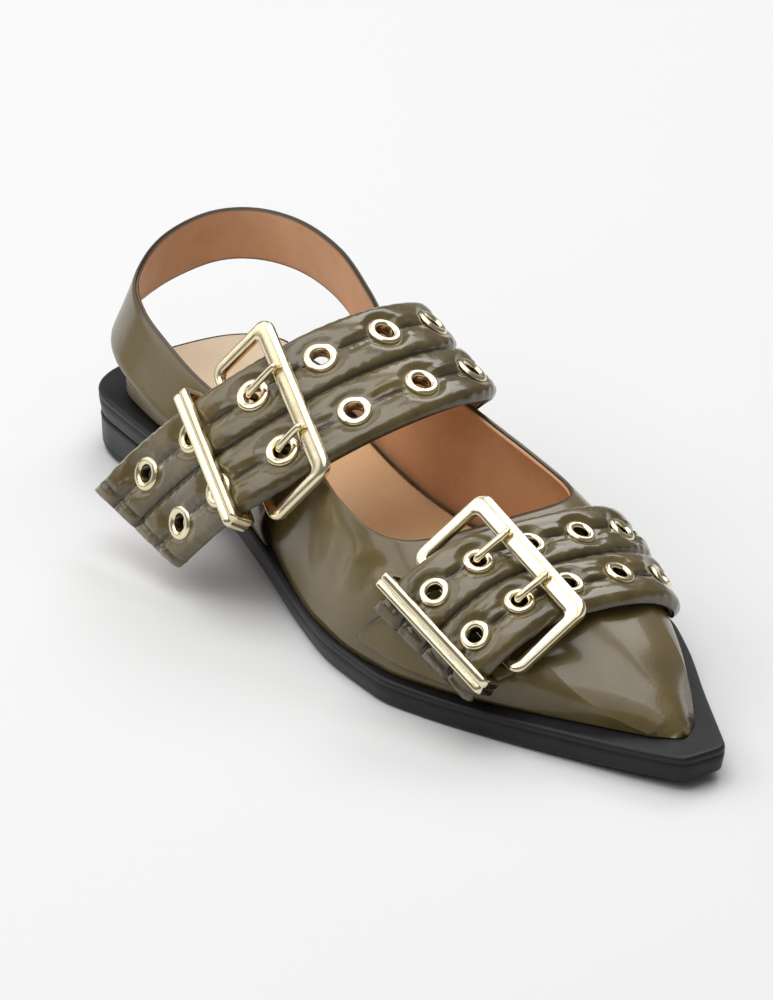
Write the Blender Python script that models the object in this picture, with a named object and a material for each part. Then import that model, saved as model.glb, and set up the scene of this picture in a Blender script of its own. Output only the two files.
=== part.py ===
# Right slingback shoe: flat pointed sole, hollow vamp, two buckled straps and a heel sling.
# Lengths are in millimetres from the back of the heel, toe to +X, inner side of the foot to +Y,
# and are turned into metres around the middle of the heel when a mesh is made.

import math

import bpy
import numpy as np

for old in list(bpy.data.objects):
    bpy.data.objects.remove(old, do_unlink=True)

MM = 0.001
GAP = 0.3
HEEL_CENTRE_X = 36.0

# Sole
SOLE_LENGTH = 272.0
HEEL_ROUND = 22.0
HEEL_ROUND_POWER = 2.7
HEEL_BREAST_X = 74.0
HEEL_BREAST_ROUND = 7.0
HEEL_TAPER = 1.0
SOLE_BEVEL = 0.9
SOLE_TAPER = 0.7
SOLE_START_X = 0.25
SOLE_STATIONS = 34
HEEL_TOP_BEVEL = 0.3
HEEL_STATIONS = 14
HEEL_BREAST_STATIONS = 4
BACK_STATIONS = 8

# Insole
INSOLE_BACK_X = 9.5
INSOLE_TOE_X = 249.0
INSOLE_ROUND = 18.0
INSOLE_BEVEL = 1.4
INSOLE_LOWER_BEVEL = 0.4
INSOLE_STATIONS = 26

# Upper
UPPER_WALL = 1.8
UPPER_TIP_X = 262.0
UPPER_INNER_TIP_X = 258.0
UPPER_THROAT_X = 181.0
UPPER_BULGE = 1.6
UPPER_FLARE_POWER = 4
UPPER_NOSE_LENGTH = 14.0
UPPER_PINCH_LENGTH = 5.0
UPPER_RAYS = 44
UPPER_STEPS = 8
UPPER_STEP_POWER = 1.15
SLOPE_ANGLE = 0.02
SLOPE_LENGTH = 0.5

# Padded straps: four stuffed channels, measured from the level of their seams
STRAP_CHANNELS = 4
STRAP_SWELL = 0.9
STRAP_BACK = 2.4
STRAP_ACROSS = 8
TOE_STRAP_ROWS = 21
TOE_STRAP_SETTLES = 2.0
TOE_STRAP_RISES = 3.0
INSTEP_STRAP_ROWS = 33
STRAP_EDGE_DROP = 0.8

# Eyelets
EYELET_WALL = 0.5
EYELET_HEIGHT = 1.1
EYELET_SIDES = 8
SEAT_ROOM = 0.5
PUNCH_ROOM = 0.35
PUNCH_ABOVE = 3.0
PUNCH_BELOW = 6.0

# Buckles
FRAME_SIDE = 3.6
FRAME_BAR = 5.6
FRAME_HINGE = 3.0
FRAME_THICK = 2.8
FRAME_CORNER = 4.0
FRAME_INNER_CORNER = 1.2
FRAME_BEVEL = 0.7
PRONG_RADIUS = 1.1
PRONG_SIDES = 6
PRONG_RINGS = 13
PRONG_TIP = 0.6
PRONG_REACH = 1.2
PRONG_BEND = 2.5
PRONG_SAG = 0.6
PRONG_UNDER = 0.4
PRONG_LEAN = 0.22
PRONG_RISE = 2.1
PRONG_IN_EYELET = 1.6
KEEPER_LENGTH = 4.6
KEEPER_THICK = 2.0
KEEPER_ROOM = 0.8
KEEPER_INNER_CORNER = 0.8
KEEPER_CORNER = 1.6
KEEPER_BEVEL = 0.4
TAB_THICK = 1.6
TAB_WIDTH = 36.0
TAB_FLARE = 0.12
TAB_FOOT_X = 194.0
TAB_FOOT_ANGLE = 0.06
TAB_BELOW_HINGE = 7.8
TAB_ROWS = 8
TAB_COLUMNS = 7
INSTEP_TAB_WIDTH = 30.0
INSTEP_TAB_FOOT = (98.0, -32.3)
INSTEP_TAB_TURN = 0.11
INSTEP_TAB_LEAN = 3.0
INSTEP_TAB_ROWS = 9
INSTEP_TAB_COLUMNS = 5

# Sling
SLING_WIDTH = 17.0
SLING_THICK = 2.0
SLING_ROWS = 29

OLIVE = (0.105, 0.085, 0.045, 1.0)
TAN = (0.42, 0.22, 0.11, 1.0)
GOLD = (0.83, 0.74, 0.53, 1.0)
BLACK = (0.018, 0.018, 0.02, 1.0)


def table(columns, rows):
    return dict(zip(columns.split(), np.array(rows, float).T))


# Plan outline of the sole
SOLE_EDGE = table("x lateral medial", (
    (0.0, -31.0, 31.5),
    (22.0, -32.4, 33.0),
    (40.0, -32.9, 33.9),
    (75.0, -31.8, 25.5),
    (110.0, -35.0, 24.4),
    (140.0, -40.6, 31.5),
    (165.0, -44.4, 40.2),
    (185.0, -44.0, 43.9),
    (200.0, -39.4, 42.4),
    (215.0, -32.8, 37.4),
    (243.0, -18.6, 24.2),
    (264.0, -7.6, 14.4),
    (272.0, -2.6, 10.6),
))

# Side profile of the sole: arch, toe spring and the seat of the heel
SOLE_PROFILE = table("x bottom top", (
    (0.0, 12.2, 20.0),
    (40.0, 11.8, 19.6),
    (74.0, 10.2, 18.0),
    (100.0, 6.2, 14.0),
    (125.0, 2.0, 10.0),
    (150.0, 0.0, 8.0),
    (205.0, 0.0, 8.0),
    (240.0, 0.9, 8.9),
    (272.0, 3.0, 10.6),
))

INSOLE_EDGE = table("x lateral medial thick", (
    (9.5, -25.0, 25.0, 6.0),
    (27.5, -27.5, 27.5, 6.0),
    (45.0, -29.0, 26.8, 6.0),
    (60.0, -27.0, 21.6, 5.8),
    (80.0, -22.2, 17.4, 5.2),
    (100.0, -23.2, 17.3, 4.5),
    (125.0, -31.0, 20.5, 3.6),
    (150.0, -36.8, 26.9, 3.0),
    (175.0, -38.4, 33.7, 3.0),
    (200.0, -31.2, 32.8, 3.0),
    (225.0, -18.2, 22.8, 3.0),
    (249.0, -2.6, 7.6, 2.6),
))

# Foot of the upper, its crest line, the fullness of its sections and the flare of its outer foot
UPPER_SECTION = table("x lateral medial crest_y crest_z power flare", (
    (60.0, -26.5, 24.0, -1.0, 82.0, 3.2, 0.0),
    (90.0, -25.8, 19.8, -1.5, 78.0, 3.2, 2.4),
    (110.0, -28.0, 20.6, -1.5, 73.0, 3.2, 3.6),
    (130.0, -31.4, 24.2, -1.5, 66.0, 3.2, 5.6),
    (150.0, -35.0, 29.6, -1.0, 58.0, 3.1, 6.2),
    (170.0, -37.0, 35.6, 0.0, 47.0, 3.0, 5.8),
    (186.0, -36.2, 38.0, 1.5, 39.2, 2.8, 4.6),
    (200.0, -32.0, 36.0, 2.2, 34.9, 2.5, 3.4),
    (215.0, -25.8, 31.4, 2.8, 30.6, 2.4, 2.0),
    (230.0, -18.2, 25.0, 3.4, 26.0, 2.35, 1.0),
    (245.0, -9.4, 17.0, 3.8, 20.8, 2.25, 0.4),
    (256.0, -3.2, 11.2, 4.0, 17.2, 2.1, 0.0),
    (262.0, 0.0, 8.0, 4.0, 14.5, 2.0, 0.0),
))

# Rays of the upper, from its top line to its foot line: x and angle above, x below
UPPER_RAY = table("top_x angle foot_x", (
    (106.0, 30.0, 93.0),
    (130.0, 31.0, 122.0),
    (148.0, 33.0, 148.0),
    (163.0, 39.0, 174.0),
    (174.0, 51.0, 204.0),
    (179.6, 70.0, 240.0),
    (181.0, 90.0, 262.0),
    (179.6, 110.0, 240.0),
    (174.0, 129.0, 204.0),
    (163.0, 141.0, 174.0),
    (148.0, 144.5, 148.0),
    (130.0, 146.0, 122.0),
    (95.0, 150.0, 84.0),
))

# Toe strap on the upper: angle round the section, x of the middle line, room under it, spread of its width
TOE_STRAP = table("angle x room flare", (
    (178.4, 186.0, 0.4, 1.14),
    (160.0, 192.0, 0.7, 1.05),
    (138.0, 198.5, 0.9, 1.0),
    (111.0, 201.8, 0.9, 1.0),
    (87.0, 203.4, 2.2, 1.0),
    (62.0, 204.0, 5.2, 1.0),
    (42.0, 203.2, 6.4, 1.0),
    (28.0, 201.6, 6.7, 1.0),
    (16.0, 199.0, 5.4, 1.0),
))

# Instep strap: middle of its outer face, and the direction across it towards the toe
INSTEP_STRAP = table("x y z across_y across_z", (
    (79.5, 25.2, 17.9, -0.03, -0.115),
    (86.5, 30.0, 32.0, 0.0, -0.2),
    (98.5, 34.0, 46.5, 0.03, -0.28),
    (113.5, 28.0, 58.4, 0.02, -0.32),
    (121.3, 8.0, 64.0, -0.01, -0.36),
    (122.6, -14.4, 62.2, -0.04, -0.39),
    (117.4, -34.2, 53.4, -0.1, -0.4),
    (107.8, -48.4, 41.2, -0.14, -0.38),
    (93.6, -53.6, 26.2, -0.06, -0.33),
    (83.0, -59.5, 12.2, 0.08, -0.2),
))

# Eyelet columns, from the buckle's outer bar towards the end of the strap
TOE_EYELETS = (-43.0, -25.5, -8.0, 9.0, 24.0)
INSTEP_EYELETS = (-78.5, -56.5, -34.5, -12.5, 9.5, 31.5, 53.5)

# Sizes of each strap and of its eyelets and buckle; places are distances along the strap past its outer bar,
# and turns are degrees by which the fastened frame and keeper stand askew on the strap
STRAP_SIZES = {
    "toe_strap": {
        "width": 38.5, "row": 8.8, "flange": 4.3, "hole": 2.1, "bar_at": 70.0,
        "frame_length": 49.0, "frame_depth": 27.0, "frame_room": 2.4, "frame_turn": 3.0, "hinge_at": 21.5,
        "prong_at": 9.0, "keeper_at": 31.2, "keeper_turn": 0.0,
    },
    "instep_strap": {
        "width": 42.0, "row": 10.5, "flange": 5.0, "hole": 2.5, "bar_at": 116.0,
        "frame_length": 54.0, "frame_depth": 26.0, "frame_room": 1.9, "frame_turn": 6.0, "hinge_at": 20.8,
        "prong_at": 9.5, "keeper_at": 28.8, "keeper_turn": 4.0,
    },
}

# Sling: middle of the band, and the lean of its lower edge outwards
SLING = table("x y z lean", (
    (82.0, 24.6, 45.0, 0.0),
    (68.0, 27.2, 51.0, 2.0),
    (50.0, 29.8, 55.5, 4.0),
    (30.0, 29.4, 57.0, 6.0),
    (14.0, 24.0, 56.6, 8.0),
    (5.0, 14.0, 55.0, 10.0),
    (2.0, 1.0, 51.0, 12.0),
    (5.0, -11.5, 46.5, 18.0),
    (13.5, -21.5, 43.6, 24.0),
    (28.0, -28.0, 42.0, 28.0),
    (45.0, -30.6, 39.6, 28.0),
    (62.0, -30.8, 36.0, 24.0),
    (80.0, -28.5, 32.4, 13.0),
    (90.0, -28.5, 30.6, 7.0),
    (101.0, -30.4, 28.8, 4.0),
))


def smooth(xs, ys, at):
    """Monotone cubic through the points of a table's column."""
    steps = np.diff(xs)
    slopes = np.diff(ys) / steps
    same = slopes[:-1] * slopes[1:] > 0
    inner = np.where(same, 2 * slopes[:-1] * slopes[1:] / np.where(same, slopes[:-1] + slopes[1:], 1.0), 0.0)
    tangents = np.concatenate(([slopes[0]], inner, [slopes[-1]]))
    return hermite(xs, ys, tangents, at)


def hermite(xs, ys, tangents, at):
    """Cubic pieces through the points with the given tangents."""
    at = np.clip(np.asarray(at, float), xs[0], xs[-1])
    k = np.clip(np.searchsorted(xs, at, side="right") - 1, 0, len(xs) - 2)
    width = xs[k + 1] - xs[k]
    t = (at - xs[k]) / width
    start = (1 + 2 * t) * (1 - t) ** 2 * ys[k] + t * (1 - t) ** 2 * width * tangents[k]
    return start + t * t * (3 - 2 * t) * ys[k + 1] + t * t * (t - 1) * width * tangents[k + 1]


def column(rows, name, at):
    return smooth(rows["x"], rows[name], at)


def flowing(values, at):
    """Smooth curve through equally numbered rows, one number per row or one point per row."""
    values = np.asarray(values, float)
    places = np.arange(len(values), dtype=float)
    tangents = np.gradient(values, axis=0)
    if values.ndim == 1:
        return hermite(places, values, tangents, at)
    parts = [hermite(places, values[:, i], tangents[:, i], at) for i in range(values.shape[1])]
    return np.stack(parts, axis=-1)


def ease(share):
    """Soft step from 0 to 1."""
    share = np.clip(share, 0.0, 1.0)
    return share * share * (3 - 2 * share)


def unit(vectors):
    return vectors / np.linalg.norm(vectors, axis=-1, keepdims=True)


def finish(name, colour, roughness, metallic):
    """One Principled material for a piece."""
    material = bpy.data.materials.new(name)
    material.use_nodes = True
    shader = material.node_tree.nodes["Principled BSDF"]
    shader.inputs["Base Color"].default_value = colour
    shader.inputs["Roughness"].default_value = roughness
    shader.inputs["Metallic"].default_value = metallic
    return material


OLIVE_LEATHER = finish("olive_leather", OLIVE, 0.3, 0.0)
TAN_LEATHER = finish("tan_leather", TAN, 0.5, 0.0)
PALE_GOLD = finish("pale_gold", GOLD, 0.22, 1.0)
BLACK_RUBBER = finish("black_rubber", BLACK, 0.45, 0.0)


def solid(name, points, faces, material, helper=False):
    """A named object from points in millimetres, its faces turned outwards by the sign of its volume."""
    points = np.asarray(points, float)
    volume = 0.0
    for face in faces:
        corners = points[list(face)]
        for a, b in zip(corners[1:-1], corners[2:]):
            volume += np.dot(corners[0], np.cross(a, b))
    if volume < 0:
        faces = [tuple(reversed(face)) for face in faces]
    moved = (points - (HEEL_CENTRE_X, 0.0, 0.0)) * MM
    mesh = bpy.data.meshes.new(name)
    mesh.from_pydata(moved.tolist(), [], [tuple(int(i) for i in face) for face in faces])
    mesh.update()
    mesh.shade_smooth()
    mesh.set_sharp_from_angle(angle=math.radians(35))
    item = bpy.data.objects.new(name, mesh)
    bpy.context.scene.collection.objects.link(item)
    if helper:
        item.hide_render = True
        item.display_type = "WIRE"
    else:
        mesh.materials.append(material)
    return item


def loft(rings, closed_path=False):
    """Points and faces of rings joined in order, with flat caps at both ends unless the path is closed."""
    rings = np.asarray(rings, float)
    count, sides = rings.shape[:2]
    faces = []
    for i in range(count if closed_path else count - 1):
        here = i * sides
        after = (i + 1) % count * sides
        for j in range(sides):
            k = (j + 1) % sides
            faces.append((here + j, here + k, after + k, after + j))
    if not closed_path:
        faces.append(tuple(reversed(range(sides))))
        faces.append(tuple(range((count - 1) * sides, count * sides)))
    return rings.reshape(-1, 3), faces


def heel_curve(x, start, length):
    """Share of the full half width that a rounded back end has at x."""
    reach = np.clip((x - start) / length, 0.0, 1.0)
    return (1 - (1 - reach) ** HEEL_ROUND_POWER) ** (1 / HEEL_ROUND_POWER)


def sole_edge(x):
    share = heel_curve(x, 0.0, HEEL_ROUND)
    return column(SOLE_EDGE, "lateral", x) * share, column(SOLE_EDGE, "medial", x) * share


def sole_top(x):
    return column(SOLE_PROFILE, "top", x)


def sole_bottom(x):
    return column(SOLE_PROFILE, "bottom", x)


def bevelled_ring(x, lateral, medial, bottom, top, top_bevel, bottom_bevel, taper):
    """Eight points round one cross section of a flat piece."""
    return [
        (x, lateral + top_bevel, top),
        (x, lateral, top - top_bevel),
        (x, lateral + taper, bottom + bottom_bevel),
        (x, lateral + taper + bottom_bevel, bottom),
        (x, medial - taper - bottom_bevel, bottom),
        (x, medial - taper, bottom + bottom_bevel),
        (x, medial, top - top_bevel),
        (x, medial - top_bevel, top),
    ]


def rounded_stations(start, round_length, end, count):
    """Stations along x that crowd together at the rounded back end."""
    back = start + round_length * (1 - np.cos(np.linspace(0.0, math.pi / 2, BACK_STATIONS)))
    along = np.linspace(start + round_length, end, count - BACK_STATIONS + 1)
    return np.concatenate((back, along[1:]))


def make_outsole():
    stations = rounded_stations(0.0, HEEL_ROUND, SOLE_LENGTH, SOLE_STATIONS)
    stations[0] = SOLE_START_X
    rings = []
    for x in stations:
        lateral, medial = sole_edge(x)
        rings.append(bevelled_ring(
            x, lateral, medial, sole_bottom(x), sole_top(x), SOLE_BEVEL, SOLE_BEVEL, SOLE_TAPER))
    solid("outsole", *loft(rings), BLACK_RUBBER)


def make_heel():
    stations = list(rounded_stations(0.0, HEEL_ROUND, HEEL_BREAST_X - HEEL_BREAST_ROUND, HEEL_STATIONS))
    stations[0] = SOLE_START_X
    turn = np.linspace(0.2, 1.0, HEEL_BREAST_STATIONS)
    stations += list(HEEL_BREAST_X - HEEL_BREAST_ROUND * (1 - np.sin(turn * math.pi / 2)))
    rings = []
    for x in stations:
        lateral, medial = sole_edge(x)
        past = np.clip((x - HEEL_BREAST_X + HEEL_BREAST_ROUND) / HEEL_BREAST_ROUND, 0.0, 1.0)
        pull = HEEL_BREAST_ROUND * (1 - math.sqrt(max(1 - past ** 2, 0.0)))
        lateral += SOLE_TAPER + pull
        medial -= SOLE_TAPER + pull
        rings.append(bevelled_ring(
            x, lateral, medial, 0.0, sole_bottom(x) - GAP, HEEL_TOP_BEVEL, SOLE_BEVEL, HEEL_TAPER))
    solid("heel", *loft(rings), BLACK_RUBBER)


def make_insole():
    stations = rounded_stations(INSOLE_BACK_X, INSOLE_ROUND, INSOLE_TOE_X, INSOLE_STATIONS)
    stations[0] += SOLE_START_X
    rings = []
    for x in stations:
        share = heel_curve(x, INSOLE_BACK_X, INSOLE_ROUND)
        lateral = column(INSOLE_EDGE, "lateral", x) * share
        medial = column(INSOLE_EDGE, "medial", x) * share
        bottom = sole_top(x) + GAP
        top = sole_top(x) + column(INSOLE_EDGE, "thick", x)
        rings.append(bevelled_ring(x, lateral, medial, bottom, top, INSOLE_BEVEL, INSOLE_LOWER_BEVEL, 0.0))
    solid("insole", *loft(rings), TAN_LEATHER)


def upper_point(x, angle, inset=0.0):
    """Point of the upper at a section x and an angle round it, 0 at the outer foot and pi at the inner one.

    Each half section is a superellipse from the foot line to the crest, pushed out a little half way up.
    The outer half flares at its foot, and the sections close over the toe in a round nose.
    """
    end_x = UPPER_TIP_X
    if inset:
        end_x = UPPER_INNER_TIP_X
        share = (UPPER_INNER_TIP_X - UPPER_THROAT_X) / (UPPER_TIP_X - UPPER_THROAT_X)
        x = np.where(x > UPPER_THROAT_X, UPPER_THROAT_X + (x - UPPER_THROAT_X) * share, x)
    base = sole_top(x) + GAP
    crest_y = column(UPPER_SECTION, "crest_y", x)
    nose = np.clip((end_x - x) / UPPER_NOSE_LENGTH, 0.0, 1.0)
    height = (column(UPPER_SECTION, "crest_z", x) - inset - base) * np.sqrt(nose * (2 - nose))
    power = 2.0 / column(UPPER_SECTION, "power", x)
    side = np.cos(angle)
    rise = np.clip(np.abs(np.sin(angle)), 0.0, 1.0)
    pinch = np.sqrt(np.clip((end_x - x) / UPPER_PINCH_LENGTH, 0.0, 1.0))
    lateral = column(UPPER_SECTION, "lateral", x) + inset
    medial = column(UPPER_SECTION, "medial", x) - inset
    half = (np.where(side > 0, lateral, medial) - crest_y) * pinch
    flare = np.where(side > 0, column(UPPER_SECTION, "flare", x), 0.0) * (1 - rise) ** UPPER_FLARE_POWER
    push = (UPPER_BULGE * np.sin(np.pi * rise) ** 2 * np.abs(side) + flare) * np.sign(half) * pinch
    y = crest_y + half * np.abs(side) ** power + push
    z = base + height * rise ** power
    return np.stack(np.broadcast_arrays(x, y, z), axis=-1)


def upper_angle(points):
    """Angle at which a line from the middle of the upper's foot out to each point crosses its section."""
    x = points[..., 0]
    base = sole_top(x) + GAP
    off = points[..., 1] - column(UPPER_SECTION, "crest_y", x)
    foot = np.where(off < 0, column(UPPER_SECTION, "lateral", x), column(UPPER_SECTION, "medial", x))
    wide = np.abs(off / (foot - column(UPPER_SECTION, "crest_y", x)))
    high = np.maximum(points[..., 2] - base, 0.0) / (column(UPPER_SECTION, "crest_z", x) - base)
    power = column(UPPER_SECTION, "power", x) / 2.0
    angle = np.arctan2(high ** power, wide ** power)
    return np.where(off < 0, angle, math.pi - angle)


def on_upper(x, angle, lift):
    """Points off the upper's face by a lift along its normal."""
    turned = upper_point(x, angle - SLOPE_ANGLE) - upper_point(x, angle + SLOPE_ANGLE)
    ahead = upper_point(x + SLOPE_LENGTH, angle) - upper_point(x - SLOPE_LENGTH, angle)
    out = unit(np.cross(turned, ahead))
    return upper_point(x, angle) + out * np.asarray(lift)[..., None], out


def upper_grid(inset):
    """Grid of the upper's face: rays from the top line to the foot line."""
    middle = (len(UPPER_RAY["top_x"]) - 1) / 2
    ray = np.linspace(0.0, 2 * middle, UPPER_RAYS + 1)
    top_x = flowing(UPPER_RAY["top_x"], ray)
    foot_x = np.minimum(flowing(UPPER_RAY["foot_x"], ray), UPPER_TIP_X)
    top_angle = np.radians(flowing(UPPER_RAY["angle"], ray))
    foot_angle = np.where(ray < middle, 0.0, math.pi)
    foot_angle = np.where(np.abs(ray - middle) < 1e-6, top_angle, foot_angle)
    down = np.linspace(0.0, 1.0, UPPER_STEPS + 1)[None, :]
    x = top_x[:, None] + (foot_x - top_x)[:, None] * down
    angle = top_angle[:, None] + (foot_angle - top_angle)[:, None] * down ** UPPER_STEP_POWER
    return upper_point(x, angle, inset)


def shell(outer, inner):
    """Points and faces of a closed wall between two grids of the same size."""
    rows, columns = outer.shape[:2]
    count = rows * columns
    points = np.concatenate((outer.reshape(-1, 3), inner.reshape(-1, 3)))
    number = np.arange(count).reshape(rows, columns)
    faces = []
    for i in range(rows - 1):
        for j in range(columns - 1):
            a, b, c, d = number[i, j], number[i, j + 1], number[i + 1, j + 1], number[i + 1, j]
            faces.append((a, b, c, d))
            faces.append((d + count, c + count, b + count, a + count))
    rim = list(number[0, :]) + list(number[1:, -1]) + list(number[-1, -2::-1]) + list(number[-2:0:-1, 0])
    for a, b in zip(rim, rim[1:] + rim[:1]):
        faces.append((b, a, a + count, b + count))
    return points, faces


def make_upper():
    solid("upper", *shell(upper_grid(0.0), upper_grid(UPPER_WALL)), OLIVE_LEATHER)


class Strap:
    """A padded strap as a grid of places and outward normals at the level of its seams."""

    def __init__(self, name, places):
        self.name = name
        self.size = STRAP_SIZES[name]
        self.places = places
        across = np.gradient(places, axis=1)
        along = np.gradient(places, axis=0)
        self.normals = unit(np.cross(along, across))
        middle = places[:, places.shape[1] // 2]
        steps = np.linalg.norm(np.diff(middle, axis=0), axis=1)
        self.length = np.concatenate(([0.0], np.cumsum(steps)))

    def frame(self, beyond_bar, side=0.0):
        """Place, along, across and normal at a distance past the bar and off the middle line."""
        row = np.interp(self.size["bar_at"] + beyond_bar, self.length, np.arange(len(self.length)))
        last = self.places.shape[1] - 1
        column_at = (side / self.size["width"] + 0.5) * last
        place = self.sample(self.places, row, column_at)
        normal = unit(self.sample(self.normals, row, column_at))
        across = self.sample(self.places, row, last) - self.sample(self.places, row, 0)
        across = unit(across - normal * np.dot(across, normal))
        return place, np.cross(across, normal), across, normal

    @staticmethod
    def sample(grid, row, column_at):
        i = int(min(row, grid.shape[0] - 2))
        j = int(min(column_at, grid.shape[1] - 2))
        u = row - i
        v = column_at - j
        near = grid[i, j] * (1 - v) + grid[i, j + 1] * v
        far = grid[i + 1, j] * (1 - v) + grid[i + 1, j + 1] * v
        return near * (1 - u) + far * u

    def wall(self):
        """Outer face swollen between the seams, and the flat back."""
        last = self.places.shape[1] - 1
        share = np.arange(last + 1) / last
        swell = STRAP_SWELL * np.abs(np.sin(share * STRAP_CHANNELS * math.pi))
        swell[0] = swell[-1] = -STRAP_EDGE_DROP
        outer = self.places + self.normals * swell[None, :, None]
        return outer, self.places - self.normals * STRAP_BACK


def across_shares():
    return np.linspace(-0.5, 0.5, STRAP_ACROSS + 1)


def toe_strap_places():
    """Grid of the toe strap: square to its middle line, laid on the upper and lifted off it at the buckle."""
    rows = np.linspace(0.0, len(TOE_STRAP["angle"]) - 1.0, TOE_STRAP_ROWS)
    angle = np.radians(flowing(TOE_STRAP["angle"], rows))
    lift = flowing(TOE_STRAP["room"], rows) + STRAP_BACK
    middle, out = on_upper(flowing(TOE_STRAP["x"], rows), angle, lift)
    across = unit(np.cross(out, np.gradient(middle, axis=0)))
    width = STRAP_SIZES["toe_strap"]["width"]
    spread = flowing(TOE_STRAP["flare"], rows)[:, None] * width * across_shares()[None, :]
    flat = middle[:, None, :] + across[:, None, :] * spread[..., None]
    turn = angle[:, None] + (upper_angle(flat) - angle[:, None]) * ease(rows / TOE_STRAP_SETTLES)[:, None]
    laid = on_upper(flat[..., 0], turn, np.broadcast_to(lift[:, None], spread.shape))[0]
    straight = ease((rows - TOE_STRAP_RISES) / 2)[:, None, None]
    return laid + (flat - laid) * straight


def instep_strap_places():
    """Grid of the instep strap, straight across between its two edges."""
    rows = np.linspace(0.0, len(INSTEP_STRAP["x"]) - 1.0, INSTEP_STRAP_ROWS)
    middle = flowing(np.stack([INSTEP_STRAP[name] for name in "xyz"], axis=-1), rows)
    across_y = flowing(INSTEP_STRAP["across_y"], rows)
    across_z = flowing(INSTEP_STRAP["across_z"], rows)
    across_x = np.sqrt(1 - across_y ** 2 - across_z ** 2)
    across = np.stack((across_x, across_y, across_z), axis=-1)
    width = STRAP_SIZES["instep_strap"]["width"]
    return middle[:, None, :] + across[:, None, :] * (across_shares() * width)[None, :, None]


def turned_rings(place, along, across, normal, profile, sides):
    """Rings of a profile of (radius, height) pairs turned about the normal."""
    angles = np.arange(sides) * 2 * math.pi / sides
    spokes = np.cos(angles)[:, None] * along + np.sin(angles)[:, None] * across
    return np.array([[place + r * spoke + h * normal for r, h in profile] for spoke in spokes])


def make_eyelet(name, strap, beyond, side):
    hole = strap.size["hole"]
    flange = strap.size["flange"]
    profile = (
        (hole, -STRAP_BACK - GAP),
        (hole + EYELET_WALL, -STRAP_BACK - GAP),
        (hole + EYELET_WALL, GAP),
        (flange, GAP),
        (flange - EYELET_WALL, GAP + EYELET_HEIGHT),
        (hole + EYELET_WALL, GAP + EYELET_HEIGHT),
    )
    rings = turned_rings(*strap.frame(beyond, side), profile, EYELET_SIDES)
    solid(name, *loft(rings, closed_path=True), PALE_GOLD)


def make_punch(name, strap, beyond, side):
    """Cutter for one eyelet: a seat for its flange and a hole for its barrel."""
    seat = strap.size["flange"] + SEAT_ROOM
    hole = strap.size["hole"] + EYELET_WALL + PUNCH_ROOM
    profile = ((seat, PUNCH_ABOVE), (seat, 0.0), (hole, 0.0), (hole, -PUNCH_BELOW))
    rings = turned_rings(*strap.frame(beyond, side), profile, EYELET_SIDES)
    return solid(name, *loft(rings.transpose(1, 0, 2)), None, helper=True)


def make_strap(strap, columns):
    item = solid(strap.name, *shell(*strap.wall()), OLIVE_LEATHER)
    for number, beyond in enumerate(columns, 1):
        for row, side in (("rear", -strap.size["row"]), ("front", strap.size["row"])):
            make_eyelet(f"{strap.name}_eyelet_{row}_{number}", strap, beyond, side)
            cut = item.modifiers.new(f"punch_{row}_{number}", "BOOLEAN")
            cut.operation = "DIFFERENCE"
            cut.solver = "EXACT"
            cut.object = make_punch(f"{strap.name}_punch_{row}_{number}", strap, beyond, side)


def rounded_rectangle(x_low, x_high, y_low, y_high, radius):
    """Twenty points round a rectangle with rounded corners."""
    corners = (
        (x_high - radius, y_high - radius, 0.0),
        (x_low + radius, y_high - radius, 90.0),
        (x_low + radius, y_low + radius, 180.0),
        (x_high - radius, y_low + radius, 270.0),
    )
    points = []
    for x, y, start in corners:
        for turn in np.radians(start + np.linspace(0.0, 90.0, 5)):
            points.append((x + radius * math.cos(turn), y + radius * math.sin(turn)))
    return np.array(points)


def ring_solid(name, centre, axes, outer, inner, thick, bevel):
    """A flat ring between two outlines in the plane of the first two axes, bevelled on its outer face."""
    shrink = 1 - bevel / np.abs(outer).max(axis=0)
    grow = 1 + bevel / np.abs(inner).max(axis=0)
    loops = (
        (outer * shrink, thick / 2),
        (outer, thick / 2 - bevel),
        (outer, -thick / 2),
        (inner, -thick / 2),
        (inner, thick / 2 - bevel),
        (inner * grow, thick / 2),
    )
    rings = [
        [centre + p[0] * axes[0] + p[1] * axes[1] + h * axes[2] for p in points] for points, h in loops
    ]
    solid(name, *loft(rings, closed_path=True), PALE_GOLD)


class Buckle:
    """Place of a buckle's frame: its outer bar lies on the strap, its hinge bar under it."""

    def __init__(self, strap):
        bar, _, across, normal = strap.frame(0.0)
        hinge, _, hinge_across, hinge_normal = strap.frame(strap.size["hinge_at"])
        room = strap.size["frame_room"] + FRAME_THICK / 2
        self.bar = bar + normal * (STRAP_SWELL + room)
        self.hinge = hinge - hinge_normal * (STRAP_BACK + room)
        across = unit(across + hinge_across)
        down = self.hinge - self.bar
        down = unit(down - across * np.dot(down, across))
        turn = math.radians(strap.size["frame_turn"])
        self.across = across * math.cos(turn) + down * math.sin(turn)
        self.down = down * math.cos(turn) - across * math.sin(turn)
        self.up = np.cross(self.across, -self.down)
        if np.dot(self.up, normal) < 0:
            self.up = -self.up


def make_buckle(name, strap):
    buckle = Buckle(strap)
    length = strap.size["frame_length"] / 2
    half = strap.size["frame_depth"] / 2
    centre = buckle.bar + buckle.down * (half - FRAME_BAR / 2)
    outer = rounded_rectangle(-length, length, -half, half, FRAME_CORNER)
    inner = rounded_rectangle(
        -length + FRAME_SIDE, length - FRAME_SIDE, -half + FRAME_BAR, half - FRAME_HINGE, FRAME_INNER_CORNER)
    axes = (buckle.across, buckle.down, buckle.up)
    ring_solid(f"{name}_frame", centre, axes, outer, inner, FRAME_THICK, FRAME_BEVEL)
    for number, side in enumerate((-strap.size["row"], strap.size["row"]), 1):
        make_prong(f"{name}_prong_{number}", strap, buckle, side)
    make_keeper(f"{name}_keeper", strap)
    return buckle


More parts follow.
